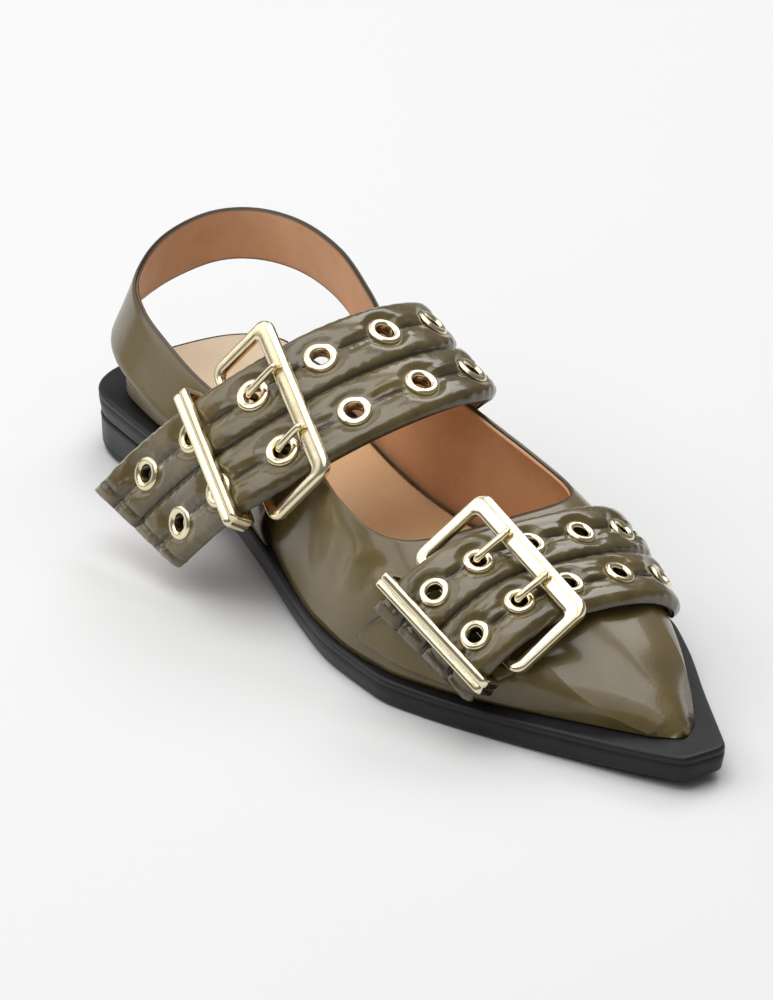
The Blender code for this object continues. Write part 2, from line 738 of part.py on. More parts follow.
def make_prong(name, strap, buckle, side):
    """A bent pin from the hinge bar, up through an eyelet and down on the outer bar."""
    eye, _, _, normal = strap.frame(strap.size["prong_at"], side)
    rest = FRAME_THICK / 2 + GAP + PRONG_RADIUS
    below = STRAP_BACK + 2 * GAP + PRONG_RADIUS + PRONG_UNDER
    hinge_reach = strap.size["frame_depth"] - FRAME_BAR / 2 - FRAME_HINGE - GAP - PRONG_RADIUS
    line = buckle.bar + buckle.across * side
    start = line + buckle.down * hinge_reach - buckle.up * PRONG_SAG
    control = np.array([
        start,
        eye - normal * below + (start - eye) * PRONG_LEAN,
        eye - normal * PRONG_IN_EYELET,
        eye + normal * PRONG_RISE,
        line + buckle.up * rest + buckle.down * PRONG_BEND,
        line + buckle.up * rest - buckle.down * PRONG_REACH,
    ])
    path = flowing(control, np.linspace(0.0, len(control) - 1.0, PRONG_RINGS))
    direction = unit(np.gradient(path, axis=0))
    wide = unit(np.cross(direction, np.cross(buckle.across, direction)))
    high = np.cross(wide, direction)
    angles = np.arange(PRONG_SIDES) * 2 * math.pi / PRONG_SIDES
    radius = np.full(len(path), PRONG_RADIUS)
    radius[-1] *= PRONG_TIP
    rings = [
        [p + r * (math.cos(a) * w + math.sin(a) * h) for a in angles]
        for p, w, h, r in zip(path, wide, high, radius)
    ]
    solid(name, *loft(rings), PALE_GOLD)


def make_keeper(name, strap):
    """A squared loop round the strap beyond the frame."""
    place, along, across, normal = strap.frame(strap.size["keeper_at"])
    turn = math.radians(strap.size["keeper_turn"])
    turned_across = across * math.cos(turn) + along * math.sin(turn)
    turned_along = along * math.cos(turn) - across * math.sin(turn)
    low = -STRAP_BACK - KEEPER_ROOM
    high = STRAP_SWELL + KEEPER_ROOM
    wide = strap.size["width"] / 2 + KEEPER_ROOM
    tall = (high - low) / 2
    inner = rounded_rectangle(-wide, wide, -tall, tall, KEEPER_INNER_CORNER)
    wide += KEEPER_THICK
    tall += KEEPER_THICK
    outer = rounded_rectangle(-wide, wide, -tall, tall, KEEPER_CORNER)
    centre = place + normal * (low + high) / 2
    ring_solid(name, centre, (turned_across, normal, turned_along), outer, inner, KEEPER_LENGTH, KEEPER_BEVEL)


def make_toe_tab(buckle):
    """Short strap on the upper, from the outer foot line up to the toe buckle's hinge bar."""
    top = float(upper_angle(buckle.hinge + buckle.down * TAB_BELOW_HINGE))
    share = np.linspace(0.0, 1.0, TAB_ROWS)[:, None]
    middle = TAB_FOOT_X + (buckle.hinge[0] - TAB_FOOT_X) * share
    spread = (1 + TAB_FLARE * (1 - share)) * TAB_WIDTH
    x = middle + spread * np.linspace(-0.5, 0.5, TAB_COLUMNS)[None, :]
    angle = np.broadcast_to(TAB_FOOT_ANGLE + (top - TAB_FOOT_ANGLE) * share, x.shape)
    inner = on_upper(x, angle, np.full(x.shape, GAP))[0]
    outer = on_upper(x, angle, np.full(x.shape, GAP + TAB_THICK))[0]
    solid("toe_tab", *shell(outer, inner), OLIVE_LEATHER)


def make_instep_tab(buckle):
    """Short strap from the sole's outer ledge up to the instep buckle's hinge bar."""
    share = np.linspace(0.0, 1.0, INSTEP_TAB_ROWS)[:, None, None]
    side = np.linspace(-0.5, 0.5, INSTEP_TAB_COLUMNS) * INSTEP_TAB_WIDTH
    x = INSTEP_TAB_FOOT[0] + side
    low = np.stack((x, INSTEP_TAB_FOOT[1] - INSTEP_TAB_TURN * side, sole_top(x) + GAP), axis=-1)
    hinge = buckle.hinge - buckle.up * (FRAME_THICK / 2 + GAP + TAB_THICK) + buckle.down
    high = hinge + side[:, None] * buckle.across
    inner = low + (high - low) * share
    inner[..., 1] -= INSTEP_TAB_LEAN * np.sin(share[..., 0] * math.pi)
    out = unit(np.cross(np.gradient(inner, axis=1), np.gradient(inner, axis=0)))
    solid("instep_tab", *shell(inner - out * TAB_THICK, inner), OLIVE_LEATHER)


def make_sling():
    rows = np.linspace(0.0, len(SLING["x"]) - 1.0, SLING_ROWS)
    middle = flowing(np.stack([SLING[name] for name in "xyz"], axis=-1), rows)
    lean = np.radians(flowing(SLING["lean"], rows))
    along = unit(np.gradient(middle, axis=0))
    out = unit(np.cross(along, np.array([0.0, 0.0, 1.0])))
    if np.dot(out[len(out) // 2], np.array([-1.0, 0.0, 0.0])) < 0:
        out = -out
    down = unit(np.cross(along, out))
    down = np.where(down[:, 2:3] > 0, -down, down)
    across = down * np.cos(lean)[:, None] + out * np.sin(lean)[:, None]
    normal = out * np.cos(lean)[:, None] - down * np.sin(lean)[:, None]
    shares = np.linspace(-0.5, 0.5, 3)
    face = middle[:, None, :] + across[:, None, :] * (shares * SLING_WIDTH)[None, :, None]
    offset = normal[:, None, :] * SLING_THICK / 2
    solid("sling_strap", *shell(face + offset, face - offset), OLIVE_LEATHER)


make_outsole()
make_heel()
make_insole()
make_upper()
toe_strap = Strap("toe_strap", toe_strap_places())
make_strap(toe_strap, TOE_EYELETS)
make_toe_tab(make_buckle("toe_buckle", toe_strap))
instep_strap = Strap("instep_strap", instep_strap_places())
make_strap(instep_strap, INSTEP_EYELETS)
make_instep_tab(make_buckle("instep_buckle", instep_strap))
make_sling()
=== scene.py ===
# Looks of the right slingback shoe: leather, lining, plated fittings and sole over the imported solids.
# Lengths are millimetres from the back of the heel, toe to +X, inner side of the foot to +Y.

import math

import bpy
import numpy as np
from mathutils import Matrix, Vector


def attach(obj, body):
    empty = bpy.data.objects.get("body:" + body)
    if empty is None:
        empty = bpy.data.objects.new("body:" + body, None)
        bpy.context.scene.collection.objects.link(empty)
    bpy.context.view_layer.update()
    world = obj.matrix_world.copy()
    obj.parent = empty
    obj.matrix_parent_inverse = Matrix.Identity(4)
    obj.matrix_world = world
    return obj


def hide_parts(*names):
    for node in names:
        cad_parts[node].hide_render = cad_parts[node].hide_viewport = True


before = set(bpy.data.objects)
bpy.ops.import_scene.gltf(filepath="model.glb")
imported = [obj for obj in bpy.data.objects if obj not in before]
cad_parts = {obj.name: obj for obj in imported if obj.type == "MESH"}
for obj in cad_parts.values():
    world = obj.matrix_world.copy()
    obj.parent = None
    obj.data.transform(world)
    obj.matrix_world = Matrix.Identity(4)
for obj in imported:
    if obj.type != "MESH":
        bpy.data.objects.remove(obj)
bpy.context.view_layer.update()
millimetre = 0.001
heelCentreX = 36.0  # the row's origin lies under the middle of the heel
seamGap = 0.3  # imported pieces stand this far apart
print("frame loaded:", len(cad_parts), "nodes")


# Tables and curves

def table(columns, rows):  # named columns as arrays
    return dict(zip(columns.split(), np.array(rows, float).T))


def hermite(xs, ys, tangents, at):  # cubic pieces through the points with given tangents
    at = np.clip(np.asarray(at, float), xs[0], xs[-1])
    k = np.clip(np.searchsorted(xs, at, side="right") - 1, 0, len(xs) - 2)
    width = xs[k + 1] - xs[k]
    t = (at - xs[k]) / width
    start = (1 + 2 * t) * (1 - t) ** 2 * ys[k] + t * (1 - t) ** 2 * width * tangents[k]
    return start + t * t * (3 - 2 * t) * ys[k + 1] + t * t * (t - 1) * width * tangents[k + 1]


def smooth(xs, ys, at):  # monotone cubic: harmonic mean of the slopes on both sides of each point
    slopes = np.diff(ys) / np.diff(xs)
    same = slopes[:-1] * slopes[1:] > 0
    total = np.where(same, slopes[:-1] + slopes[1:], 1.0)
    inner = np.where(same, 2 * slopes[:-1] * slopes[1:] / total, 0.0)
    return hermite(xs, ys, np.concatenate(([slopes[0]], inner, [slopes[-1]])), at)


def column(rows, name, at):  # one column of a table at any x
    return smooth(rows["x"], rows[name], at)


def columnsAt(rows, at):  # every column of a table at any x
    return {name: column(rows, name, at) for name in rows}


def flowing(values, at):  # smooth curve through equally numbered rows
    values = np.asarray(values, float)
    places = np.arange(len(values), dtype=float)
    tangents = np.gradient(values, axis=0)
    if values.ndim == 1:
        return hermite(places, values, tangents, at)
    curves = [hermite(places, values[:, i], tangents[:, i], at) for i in range(values.shape[1])]
    return np.stack(curves, axis=-1)


def unit(vectors):  # each vector over its own length
    return vectors / np.maximum(np.linalg.norm(vectors, axis=-1, keepdims=True), 1e-9)


def ease(share):  # soft step from 0 to 1
    share = np.clip(share, 0.0, 1.0)
    return share * share * (3 - 2 * share)


def bump(distance, reach):  # soft hill of height 1 that is gone at the reach
    return 1 - ease(np.abs(distance) / reach)


def ripple(a, b, phase):  # gentle unevenness between -1 and 1: three crossed waves
    first = np.sin(a * 1.0 + b * 0.37 + phase)
    second = np.sin(a * 0.43 - b * 1.13 + 2.1 * phase)
    third = np.sin(a * 1.71 + b * 0.83 + 3.3 * phase)
    return (first + second + 0.6 * third) / 2.6


def alongLength(path):  # running sum of the steps between points
    return np.concatenate(([0.0], np.cumsum(np.linalg.norm(np.diff(path, axis=0), axis=1))))


def sampled(values, length, at):  # straight between the rows of a path, at given lengths along it
    return np.stack([np.interp(at, length, values[:, k]) for k in range(values.shape[1])], axis=-1)


def circle(count):  # cosines and sines of equal turns
    turn = np.arange(count) * 2 * math.pi / count
    return np.cos(turn), np.sin(turn)


def broad(middle, across, spread):  # a grid: each point of a line moved sideways by the spread
    return middle[:, None, :] + across[:, None, :] * spread[..., None]


def gridNormals(grid):  # outward where rows run along and columns run across towards the toe
    return unit(np.cross(np.gradient(grid, axis=0), np.gradient(grid, axis=1)))


# Meshes

def gridFaces(rows, columns, loopRows=False, loopColumns=False):  # a quad between each two rows and columns
    i = np.arange(rows if loopRows else rows - 1)[:, None]
    j = np.arange(columns if loopColumns else columns - 1)[None, :]
    here = i * columns
    ahead = (i + 1) % rows * columns
    beside = (j + 1) % columns
    corners = (here + j, here + beside, ahead + beside, ahead + j)
    return np.stack(np.broadcast_arrays(*corners), axis=-1).reshape(-1, 4)


def sweptMesh(rings):  # rings joined in order, both ends closed by fans round their middles
    rows, sides = rings.shape[:2]
    middles = np.stack((rings[0].mean(axis=0), rings[-1].mean(axis=0)))
    points = np.concatenate((rings.reshape(-1, 3), middles))
    j = np.arange(sides)
    after = (j + 1) % sides
    base = (rows - 1) * sides
    first = np.stack((after, j, np.full(sides, rows * sides)), axis=-1)
    last = np.stack((base + j, base + after, np.full(sides, rows * sides + 1)), axis=-1)
    return points, [gridFaces(rows, sides, loopColumns=True), first, last]


def ringMesh(rings):  # rings joined in order and the last to the first
    return rings.reshape(-1, 3), [gridFaces(rings.shape[0], rings.shape[1], True, True)]


def wallMesh(outer, inner):  # closed wall between two grids of one size
    rows, columns = outer.shape[:2]
    count = rows * columns
    number = np.arange(count).reshape(rows, columns)
    rim = np.concatenate((number[0], number[1:, -1], number[-1, -2::-1], number[-2:0:-1, 0]))
    after = np.roll(rim, -1)
    sides = np.stack((after, rim, rim + count, after + count), axis=-1)
    faces = gridFaces(rows, columns)
    points = np.concatenate((outer.reshape(-1, 3), inner.reshape(-1, 3)))
    return points, [faces, faces[:, ::-1] + count, sides]


def joinMeshes(parts):  # several point and face sets as one
    points = []
    faces = []
    total = 0
    for somePoints, someFaces in parts:
        points.append(somePoints)
        faces += [block + total for block in someFaces]
        total += len(somePoints)
    return np.concatenate(points), faces


def signedVolume(points, faces):  # six times the volume inside, below zero where faces point inwards
    total = 0.0
    for block in faces:
        corners = points[block]
        for k in range(1, block.shape[1] - 1):
            total += np.einsum("ij,ij->i", corners[:, 0], np.cross(corners[:, k], corners[:, k + 1])).sum()
    return total


def newMesh(name, points, faces, edge=None):  # faces turned outwards; the last argument darkens each point: dye, and painted shade in seams and holes
    if signedVolume(points, faces) < 0:
        faces = [block[:, ::-1] for block in faces]
    mesh = bpy.data.meshes.new(name)
    moved = (points - (heelCentreX, 0.0, 0.0)) * millimetre
    mesh.from_pydata(moved.tolist(), [], [face for block in faces for face in block.tolist()])
    mesh.polygons.foreach_set("use_smooth", np.ones(len(mesh.polygons), bool))
    if edge is not None:
        shade = np.zeros(len(points))
        shade[:len(edge)] = edge
        mesh.attributes.new("edge", "FLOAT", "POINT").data.foreach_set("value", shade)
    mesh.update()
    return mesh


def addPiece(name, shape, finish, nodes=(), edge=None):  # the shape is points and faces, or a mesh
    mesh = shape if isinstance(shape, bpy.types.Mesh) else newMesh(name, *shape, edge)
    mesh.materials.append(finish)
    piece = bpy.data.objects.new(name, mesh)
    bpy.context.scene.collection.objects.link(piece)
    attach(piece, "root")
    if nodes:
        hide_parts(*nodes)
    return piece


def cutHoles(mesh, cutters):  # the mesh less the cutters, as a new mesh
    body = bpy.data.objects.new("cutBody", mesh)
    tool = bpy.data.objects.new("cutTool", newMesh("cutTool", *joinMeshes(cutters)))
    for item in (body, tool):
        bpy.context.scene.collection.objects.link(item)
    cut = body.modifiers.new("holes", "BOOLEAN")
    cut.operation = "DIFFERENCE"
    cut.solver = "EXACT"
    cut.object = tool
    done = bpy.data.meshes.new_from_object(body.evaluated_get(bpy.context.evaluated_depsgraph_get()))
    bpy.data.objects.remove(body, do_unlink=True)
    bpy.data.objects.remove(tool, do_unlink=True)
    done.polygons.foreach_set("use_smooth", np.ones(len(done.polygons), bool))
    return done


# Finishes

def addNode(tree, kind, settings=(), links=()):  # settings go to sockets of that name, or to the node
    node = tree.nodes.new(kind)
    for key, value in dict(settings).items():
        if key in node.inputs:
            node.inputs[key].default_value = value
        else:
            setattr(node, key, value)
    for key, source in dict(links).items():
        tree.links.new(source, node.inputs[key])
    return node


def newFinish(name):  # a material, its tree, its shader and the piece's own coordinates
    finish = bpy.data.materials.new(name)
    finish.use_nodes = True
    tree = finish.node_tree
    where = addNode(tree, "ShaderNodeTexCoord").outputs["Object"]
    return finish, tree, tree.nodes["Principled BSDF"], where


def colourRamp(tree, source, stops):  # colours at places along a source from 0 to 1
    node = addNode(tree, "ShaderNodeValToRGB", links={"Fac": source})
    ramp = node.color_ramp
    while len(ramp.elements) < len(stops):
        ramp.elements.new(0.5)
    for element, (place, colour) in zip(ramp.elements, stops):
        element.position = place
        element.color = (*colour, 1.0)
    return node.outputs["Color"]


def span(tree, source, low, high, fromLow=0.3, fromHigh=0.7):  # one range stretched to another
    settings = {"From Min": fromLow, "From Max": fromHigh, "To Min": low, "To Max": high}
    return addNode(tree, "ShaderNodeMapRange", settings, {"Value": source}).outputs["Result"]


def noise(tree, where, scale, detail=3.0, rough=0.55):  # layered noise, each layer finer and fainter
    settings = {"Scale": scale, "Detail": detail, "Roughness": rough}
    return addNode(tree, "ShaderNodeTexNoise", settings, {"Vector": where}).outputs["Fac"]


def mixColour(tree, factor, first, second, blend="MIX"):  # each is a socket or a fixed value
    node = addNode(tree, "ShaderNodeMix", {"data_type": "RGBA", "blend_type": blend})
    for socket, value in zip((node.inputs[0], node.inputs[6], node.inputs[7]), (factor, first, second)):
        if isinstance(value, bpy.types.NodeSocket):
            tree.links.new(value, socket)
        else:
            socket.default_value = value
    return node.outputs[2]


def darkDyeAndShade(tree, colour, dark):  # darker where the pieces' mark says so: dyed cut edges, and painted shade in seams and eyelet holes
    mark = addNode(tree, "ShaderNodeAttribute", {"attribute_name": "edge"}).outputs["Fac"]
    return mixColour(tree, mark, colour, (*dark, 1.0))


def bumpFrom(tree, height, strength, depth, under=None):  # relief from a height, over another where given
    links = {"Height": height}
    if under is not None:
        links["Normal"] = under
    return addNode(tree, "ShaderNodeBump", {"Strength": strength, "Distance": depth}, links).outputs["Normal"]


def leatherFinish(name, look):
    # blotchy colour, scattered dark pores, cells of grain as bump, roughness that wanders, darker dyed cut
    # edges, and painted shade in the straps' seams
    finish, tree, shader, where = newFinish(name)
    blotch = noise(tree, where, look["blotchScale"], 4.0, 0.6)
    colour = colourRamp(tree, blotch, ((0.32, look["dark"]), (0.52, look["middle"]), (0.72, look["light"])))
    pores = addNode(tree, "ShaderNodeTexVoronoi", {"Scale": look["grainScale"]}, {"Vector": where})
    poreShade = colourRamp(tree, pores.outputs["Distance"], ((0.0, (0.86,) * 3), (0.45, (1.0,) * 3)))
    colour = mixColour(tree, look["poreShare"], colour, poreShade, "MULTIPLY")
    if "heel" in look:  # paler towards the heel
        along = addNode(tree, "ShaderNodeSeparateXYZ", links={"Vector": where}).outputs["X"]
        heelPaling = span(tree, along, 0.0, look["heelShare"], look["heelFrom"], look["heelTo"])
        colour = mixColour(tree, heelPaling, colour, (*look["heel"], 1.0))
    tree.links.new(darkDyeAndShade(tree, colour, look["edge"]), shader.inputs["Base Color"])
    wander = noise(tree, where, look["wearScale"], 5.0, 0.62)
    tree.links.new(span(tree, wander, look["roughLow"], look["roughHigh"]), shader.inputs["Roughness"])
    folds = noise(tree, where, look["foldScale"], 2.0, 0.5)
    fine = noise(tree, where, look["grainScale"] * 1.7, 2.0, 0.5)
    cells = addNode(tree, "ShaderNodeMath", {"operation": "MULTIPLY_ADD"},
                    {0: pores.outputs["Distance"], 2: fine}).outputs[0]
    cells.node.inputs[1].default_value = look["cellShare"]
    folded = bumpFrom(tree, folds, look["foldBump"], look["foldDepth"])
    grained = bumpFrom(tree, cells, look["grainBump"], look["grainDepth"], folded)
    tree.links.new(grained, shader.inputs["Normal"])
    shader.inputs["Coat Weight"].default_value = look["coat"]
    shader.inputs["Coat Roughness"].default_value = look["coatRough"]
    shader.inputs["Specular IOR Level"].default_value = look["specular"]
    return finish


oliveLook = {
    "dark": (0.100, 0.071, 0.022), "middle": (0.136, 0.098, 0.033), "light": (0.175, 0.130, 0.049),
    "edge": (0.020, 0.016, 0.010), "blotchScale": 26.0, "grainScale": 950.0, "poreShare": 0.6,
    "wearScale": 60.0, "roughLow": 0.25, "roughHigh": 0.36, "foldScale": 45.0, "foldBump": 0.10,
    "foldDepth": 0.0012, "grainBump": 0.20, "grainDepth": 0.00012, "cellShare": 0.8, "coat": 0.42,
    "coatRough": 0.12, "specular": 0.4,
}
# the straps' tones are a darker copy of the olive leather: painted shade for the shade of folds and buckles
# on the straps
strapLook = dict(
    oliveLook, dark=(0.076, 0.054, 0.017), middle=(0.116, 0.084, 0.028), light=(0.158, 0.118, 0.043),
    blotchScale=60.0, foldScale=130.0, foldBump=0.30, roughLow=0.20, roughHigh=0.34, coat=0.6)
tanLook = dict(
    oliveLook, dark=(0.57, 0.30, 0.155), middle=(0.64, 0.355, 0.19), light=(0.71, 0.41, 0.23),
    edge=(0.06, 0.035, 0.02), blotchScale=34.0, grainScale=1300.0, poreShare=0.7, wearScale=90.0,
    roughLow=0.48, roughHigh=0.62, foldScale=55.0, grainBump=0.30, coat=0.0, coatRough=0.3, specular=0.35)
footbedLook = dict(
    tanLook, dark=(0.66, 0.425, 0.22), middle=(0.74, 0.49, 0.26), light=(0.80, 0.55, 0.31), blotchScale=22.0,
    heel=(0.66, 0.56, 0.43), heelShare=0.75, heelFrom=0.045, heelTo=0.0)
wrapLook = dict(
    oliveLook, dark=(0.115, 0.088, 0.045), middle=(0.15, 0.118, 0.064), light=(0.185, 0.15, 0.085),
    roughLow=0.38, roughHigh=0.5, coat=0.15)


def plainFinish(name, look):
    # a wandering tone, darker at marked points (on the plating, painted shade inside the eyelets), and noise
    # of its own size for the roughness and for the relief
    finish, tree, shader, where = newFinish(name)
    colour = colourRamp(tree, noise(tree, where, *look["tone"]), look["stops"])
    if "edge" in look:
        colour = darkDyeAndShade(tree, colour, look["edge"])
    tree.links.new(colour, shader.inputs["Base Color"])
    marks = noise(tree, where, *look["marks"])
    tree.links.new(span(tree, marks, *look["rough"]), shader.inputs["Roughness"])
    stretched = addNode(tree, "ShaderNodeMapping", {"Scale": look["grain"]}, {"Vector": where})
    grain = noise(tree, stretched.outputs["Vector"], 1.0, look["grainDetail"])
    tree.links.new(bumpFrom(tree, grain, look["bump"], look["depth"]), shader.inputs["Normal"])
    shader.inputs["Metallic"].default_value = look["metal"]
    shader.inputs["Specular IOR Level"].default_value = look["specular"]
    return finish


# plated metal with finger marks and fine brushed scratches, and a dark colour for painted shade inside the
# eyelets
goldLook = {
    "tone": (70.0, 3.0), "stops": ((0.3, (0.79, 0.68, 0.44)), (0.7, (0.87, 0.775, 0.55))),
    "edge": (0.035, 0.026, 0.014), "marks": (240.0, 5.0, 0.65), "rough": (0.13, 0.25),
    "grain": (900.0, 90.0, 900.0), "grainDetail": 2.0, "bump": 0.06, "depth": 0.0001, "metal": 1.0,
    "specular": 0.5,
}
# moulded black rubber with dusty scuffs, rougher and paler, and a fine stipple
soleLook = {
    "tone": (38.0, 6.0, 0.65),
    "stops": ((0.35, (0.009, 0.009, 0.010)), (0.62, (0.014, 0.014, 0.016)), (0.8, (0.024, 0.023, 0.026))),
    "marks": (38.0, 6.0, 0.65), "rough": (0.34, 0.5), "grain": (1500.0, 1500.0, 1500.0), "grainDetail": 2.0,
    "bump": 0.25, "depth": 0.00012, "metal": 0.0, "specular": 0.3,
}
# waxed thread in two tones with a twist
threadLook = {
    "tone": (420.0, 2.0), "stops": ((0.3, (0.050, 0.040, 0.020)), (0.7, (0.085, 0.070, 0.038))),
    "marks": (2600.0, 1.0), "rough": (0.45, 0.65), "grain": (2600.0, 2600.0, 2600.0), "grainDetail": 1.0,
    "bump": 0.4, "depth": 0.0001, "metal": 0.0, "specular": 0.5,
}

oliveLeather = leatherFinish("olive leather", oliveLook)
strapLeather = leatherFinish("padded olive leather", strapLook)
tanLining = leatherFinish("tan lining", tanLook)
footbedLeather = leatherFinish("footbed leather", footbedLook)
wrapLeather = leatherFinish("footbed wrap", wrapLook)
paleGold = plainFinish("pale gold plating", goldLook)
blackSole = plainFinish("black sole", soleLook)
oliveThread = plainFinish("olive thread", threadLook)
print("finishes made")


# Sole, heel and footbed

soleEdge = table("x lateral medial", (
    (0, -31, 31.5), (22, -32.4, 33), (40, -32.9, 33.9), (75, -31.8, 25.5), (110, -35, 24.4),
    (140, -40.6, 31.5), (165, -44.4, 40.2), (185, -44, 43.9), (200, -39.4, 42.4), (215, -32.8, 37.4),
    (243, -18.6, 24.2), (264, -7.6, 14.4), (272, -2.6, 10.6),
))
soleProfile = table("x bottom top", (
    (0, 12.2, 20), (40, 11.8, 19.6), (74, 10.2, 18), (100, 6.2, 14), (125, 2, 10),
    (150, 0, 8), (205, 0, 8), (240, 0.9, 8.9), (272, 3, 10.6),
))
footbedEdge = table("x lateral medial thick", (
    (9.5, -25, 25, 6), (27.5, -27.5, 27.5, 6), (45, -29, 26.8, 6), (60, -27, 21.6, 5.8),
    (80, -22.2, 17.4, 5.2), (100, -23.2, 17.3, 4.5), (125, -31, 20.5, 3.6), (150, -36.8, 26.9, 3),
    (175, -38.4, 33.7, 3), (200, -31.2, 32.8, 3), (225, -18.2, 22.8, 3), (249, -2.6, 7.6, 2.6),
))
soleSizes = {
    "round": 22.0, "roundPower": 2.7, "rim": 2.2, "bevel": 1.1, "taper": 0.7, "groove": 0.35,
    "grooveDown": 2.3, "rows": 230,
}
heelSizes = {
    "breast": 74.0, "breastRound": 7.0, "rim": 2.5, "taper": 1.0, "bevel": 0.9, "lift": 3.2, "rows": 130,
}
footbedSizes = {
    "back": 9.5, "round": 18.0, "bevel": 1.5, "crown": 0.7, "wrap": 1.6, "wrapDown": 0.1, "padIn": 1.5,
    "padRound": 0.9, "padDrop": 0.7, "padRise": 0.25, "rows": 200,
}


def soleTop(x):  # height of the ledge
    return column(soleProfile, "top", x)


def soleBottom(x):  # height of the tread
    return column(soleProfile, "bottom", x)


def outlineLoop(edges, back, roundLength, count, breast=0.0):
    # plan curve from the middle of the front end round the outer side to the back and home by the inner side;
    # the back end is a superellipse, the front end a straight cut, and corners are eased by averaging
    front = edges["x"][-1]
    turn = np.linspace(0.0, math.pi / 2, 90)
    straight = np.linspace(front, back + roundLength, 500)
    x = np.concatenate((straight, back + roundLength * (1 - np.sin(turn))[1:]))
    reach = np.clip((x - back) / roundLength, 0.0, 1.0)
    share = (1 - (1 - reach) ** soleSizes["roundPower"]) ** (1 / soleSizes["roundPower"])
    past = np.clip((x - front + breast) / max(breast, 1e-6), 0.0, 1.0)
    pull = breast * (1 - np.sqrt(1 - past ** 2))
    middle = (edges["lateral"][-1] + edges["medial"][-1]) / 2
    halves = []
    for name, sign in (("lateral", 1.0), ("medial", -1.0)):
        y = (column(edges, name, x) + sign * pull) * share
        cut = np.stack((np.full(12, front), np.linspace(middle, y[0], 13)[:-1]), axis=-1)
        path = np.concatenate((cut, np.stack((x, y), axis=-1)))
        length = alongLength(path)
        at = np.linspace(0.0, length[-1], count + 1)
        halves.append(sampled(path, length, at))
    loop = np.concatenate((halves[0], halves[1][-2:0:-1]))
    for _ in range(4):
        loop = (np.roll(loop, 1, axis=0) + 2 * loop + np.roll(loop, -1, axis=0)) / 4
    ahead = unit(np.roll(loop, -1, axis=0) - np.roll(loop, 1, axis=0))
    return loop, np.stack((-ahead[:, 1], ahead[:, 0]), axis=-1)


def faceLadder(wall, k, first, rungs=12):
    # a face between the two sides of one loop: straight rungs with points along them, and a fan at both ends
    count, steps = wall.shape[:2]
    half = count // 2
    near = np.arange(1, half)
    far = count - near
    share = np.linspace(0.0, 1.0, rungs + 1)[None, 1:-1, None]
    inside = wall[near, k][:, None] * (1 - share) + wall[far, k][:, None] * share
    number = np.empty((half - 1, rungs + 1), int)
    number[:, 0] = near * steps + k
    number[:, -1] = far * steps + k
    number[:, 1:-1] = first + np.arange(inside.shape[0] * inside.shape[1]).reshape(inside.shape[:2])
    corners = (number[:-1, :-1], number[1:, :-1], number[1:, 1:], number[:-1, 1:])
    quads = np.stack(corners, axis=-1).reshape(-1, 4)
    tip = np.stack((np.full(rungs, k), number[0, :-1], number[0, 1:]), axis=-1)
    back = np.stack((number[-1, 1:], number[-1, :-1], np.full(rungs, half * steps + k)), axis=-1)
    return inside, share[..., 0], [quads, tip, back]


def slabMesh(loop, out, steps, top, bottom, crown=0.0):
    # a profile of (inset, share down, drop) steps carried round the outline, with a ladder for each face
    insets, shares, drops = np.array(steps, float).T
    plan = broad(loop, out, -insets)
    high = top(plan[..., 0])
    low = bottom(plan[..., 0])
    wall = np.concatenate((plan, (high + (low - high) * shares - drops)[..., None]), axis=-1)
    count, rows = wall.shape[:2]
    upperFace, share, upperFaces = faceLadder(wall, 0, count * rows)
    wide = np.linalg.norm(wall[1:count // 2, 0] - wall[:count // 2:-1, 0], axis=-1)[:, None]
    upperFace[..., 2] += crown * (1 - (2 * share - 1) ** 2) * np.clip(wide / 40.0, 0.0, 1.0)
    lowerFace, _, lowerFaces = faceLadder(wall, rows - 1, count * rows + upperFace[..., 0].size)
    points = np.concatenate((wall.reshape(-1, 3), upperFace.reshape(-1, 3), lowerFace.reshape(-1, 3)))
    faces = [gridFaces(count, rows, loopRows=True)] + upperFaces
    return points, faces + [block[:, ::-1] for block in lowerFaces]


def roundedSteps(inset, bevel, taper, groove=0.0, grooveDown=0.0):
    # top face edge, a round top corner, the side with a fine groove, a round bottom corner
    turn = np.linspace(0.0, math.pi / 2, 6)
    steps = [(inset, 0.0, 0.0), (inset * 0.5, 0.0, 0.0)]
    steps += [(bevel * (1 - math.sin(t)), 0.0, bevel * (1 - math.cos(t))) for t in turn]
    if groove:
        lips = ((0.05, -0.45), (groove, -0.12), (groove, 0.12), (0.05, 0.45))
        steps += [(depth, 0.0, grooveDown + off) for depth, off in lips]
    steps += [(taper * 0.5, 0.6, 0.0)]
    steps += [(taper + bevel * (1 - math.cos(t)), 1.0, -bevel * (1 - math.sin(t))) for t in turn]
    return steps + [(inset * 0.5 + taper, 1.0, 0.0), (inset + taper, 1.0, 0.0)]


def makeSole():  # a slab between ledge and tread with a groove round its side
    sizes = soleSizes
    loop, out = outlineLoop(soleEdge, 0.0, sizes["round"], sizes["rows"])
    steps = roundedSteps(sizes["rim"], sizes["bevel"], sizes["taper"], sizes["groove"], sizes["grooveDown"])
    slab = slabMesh(loop, out, steps, soleTop, soleBottom)
    addPiece("shoe_outsole", slab, blackSole, ["outsole"])


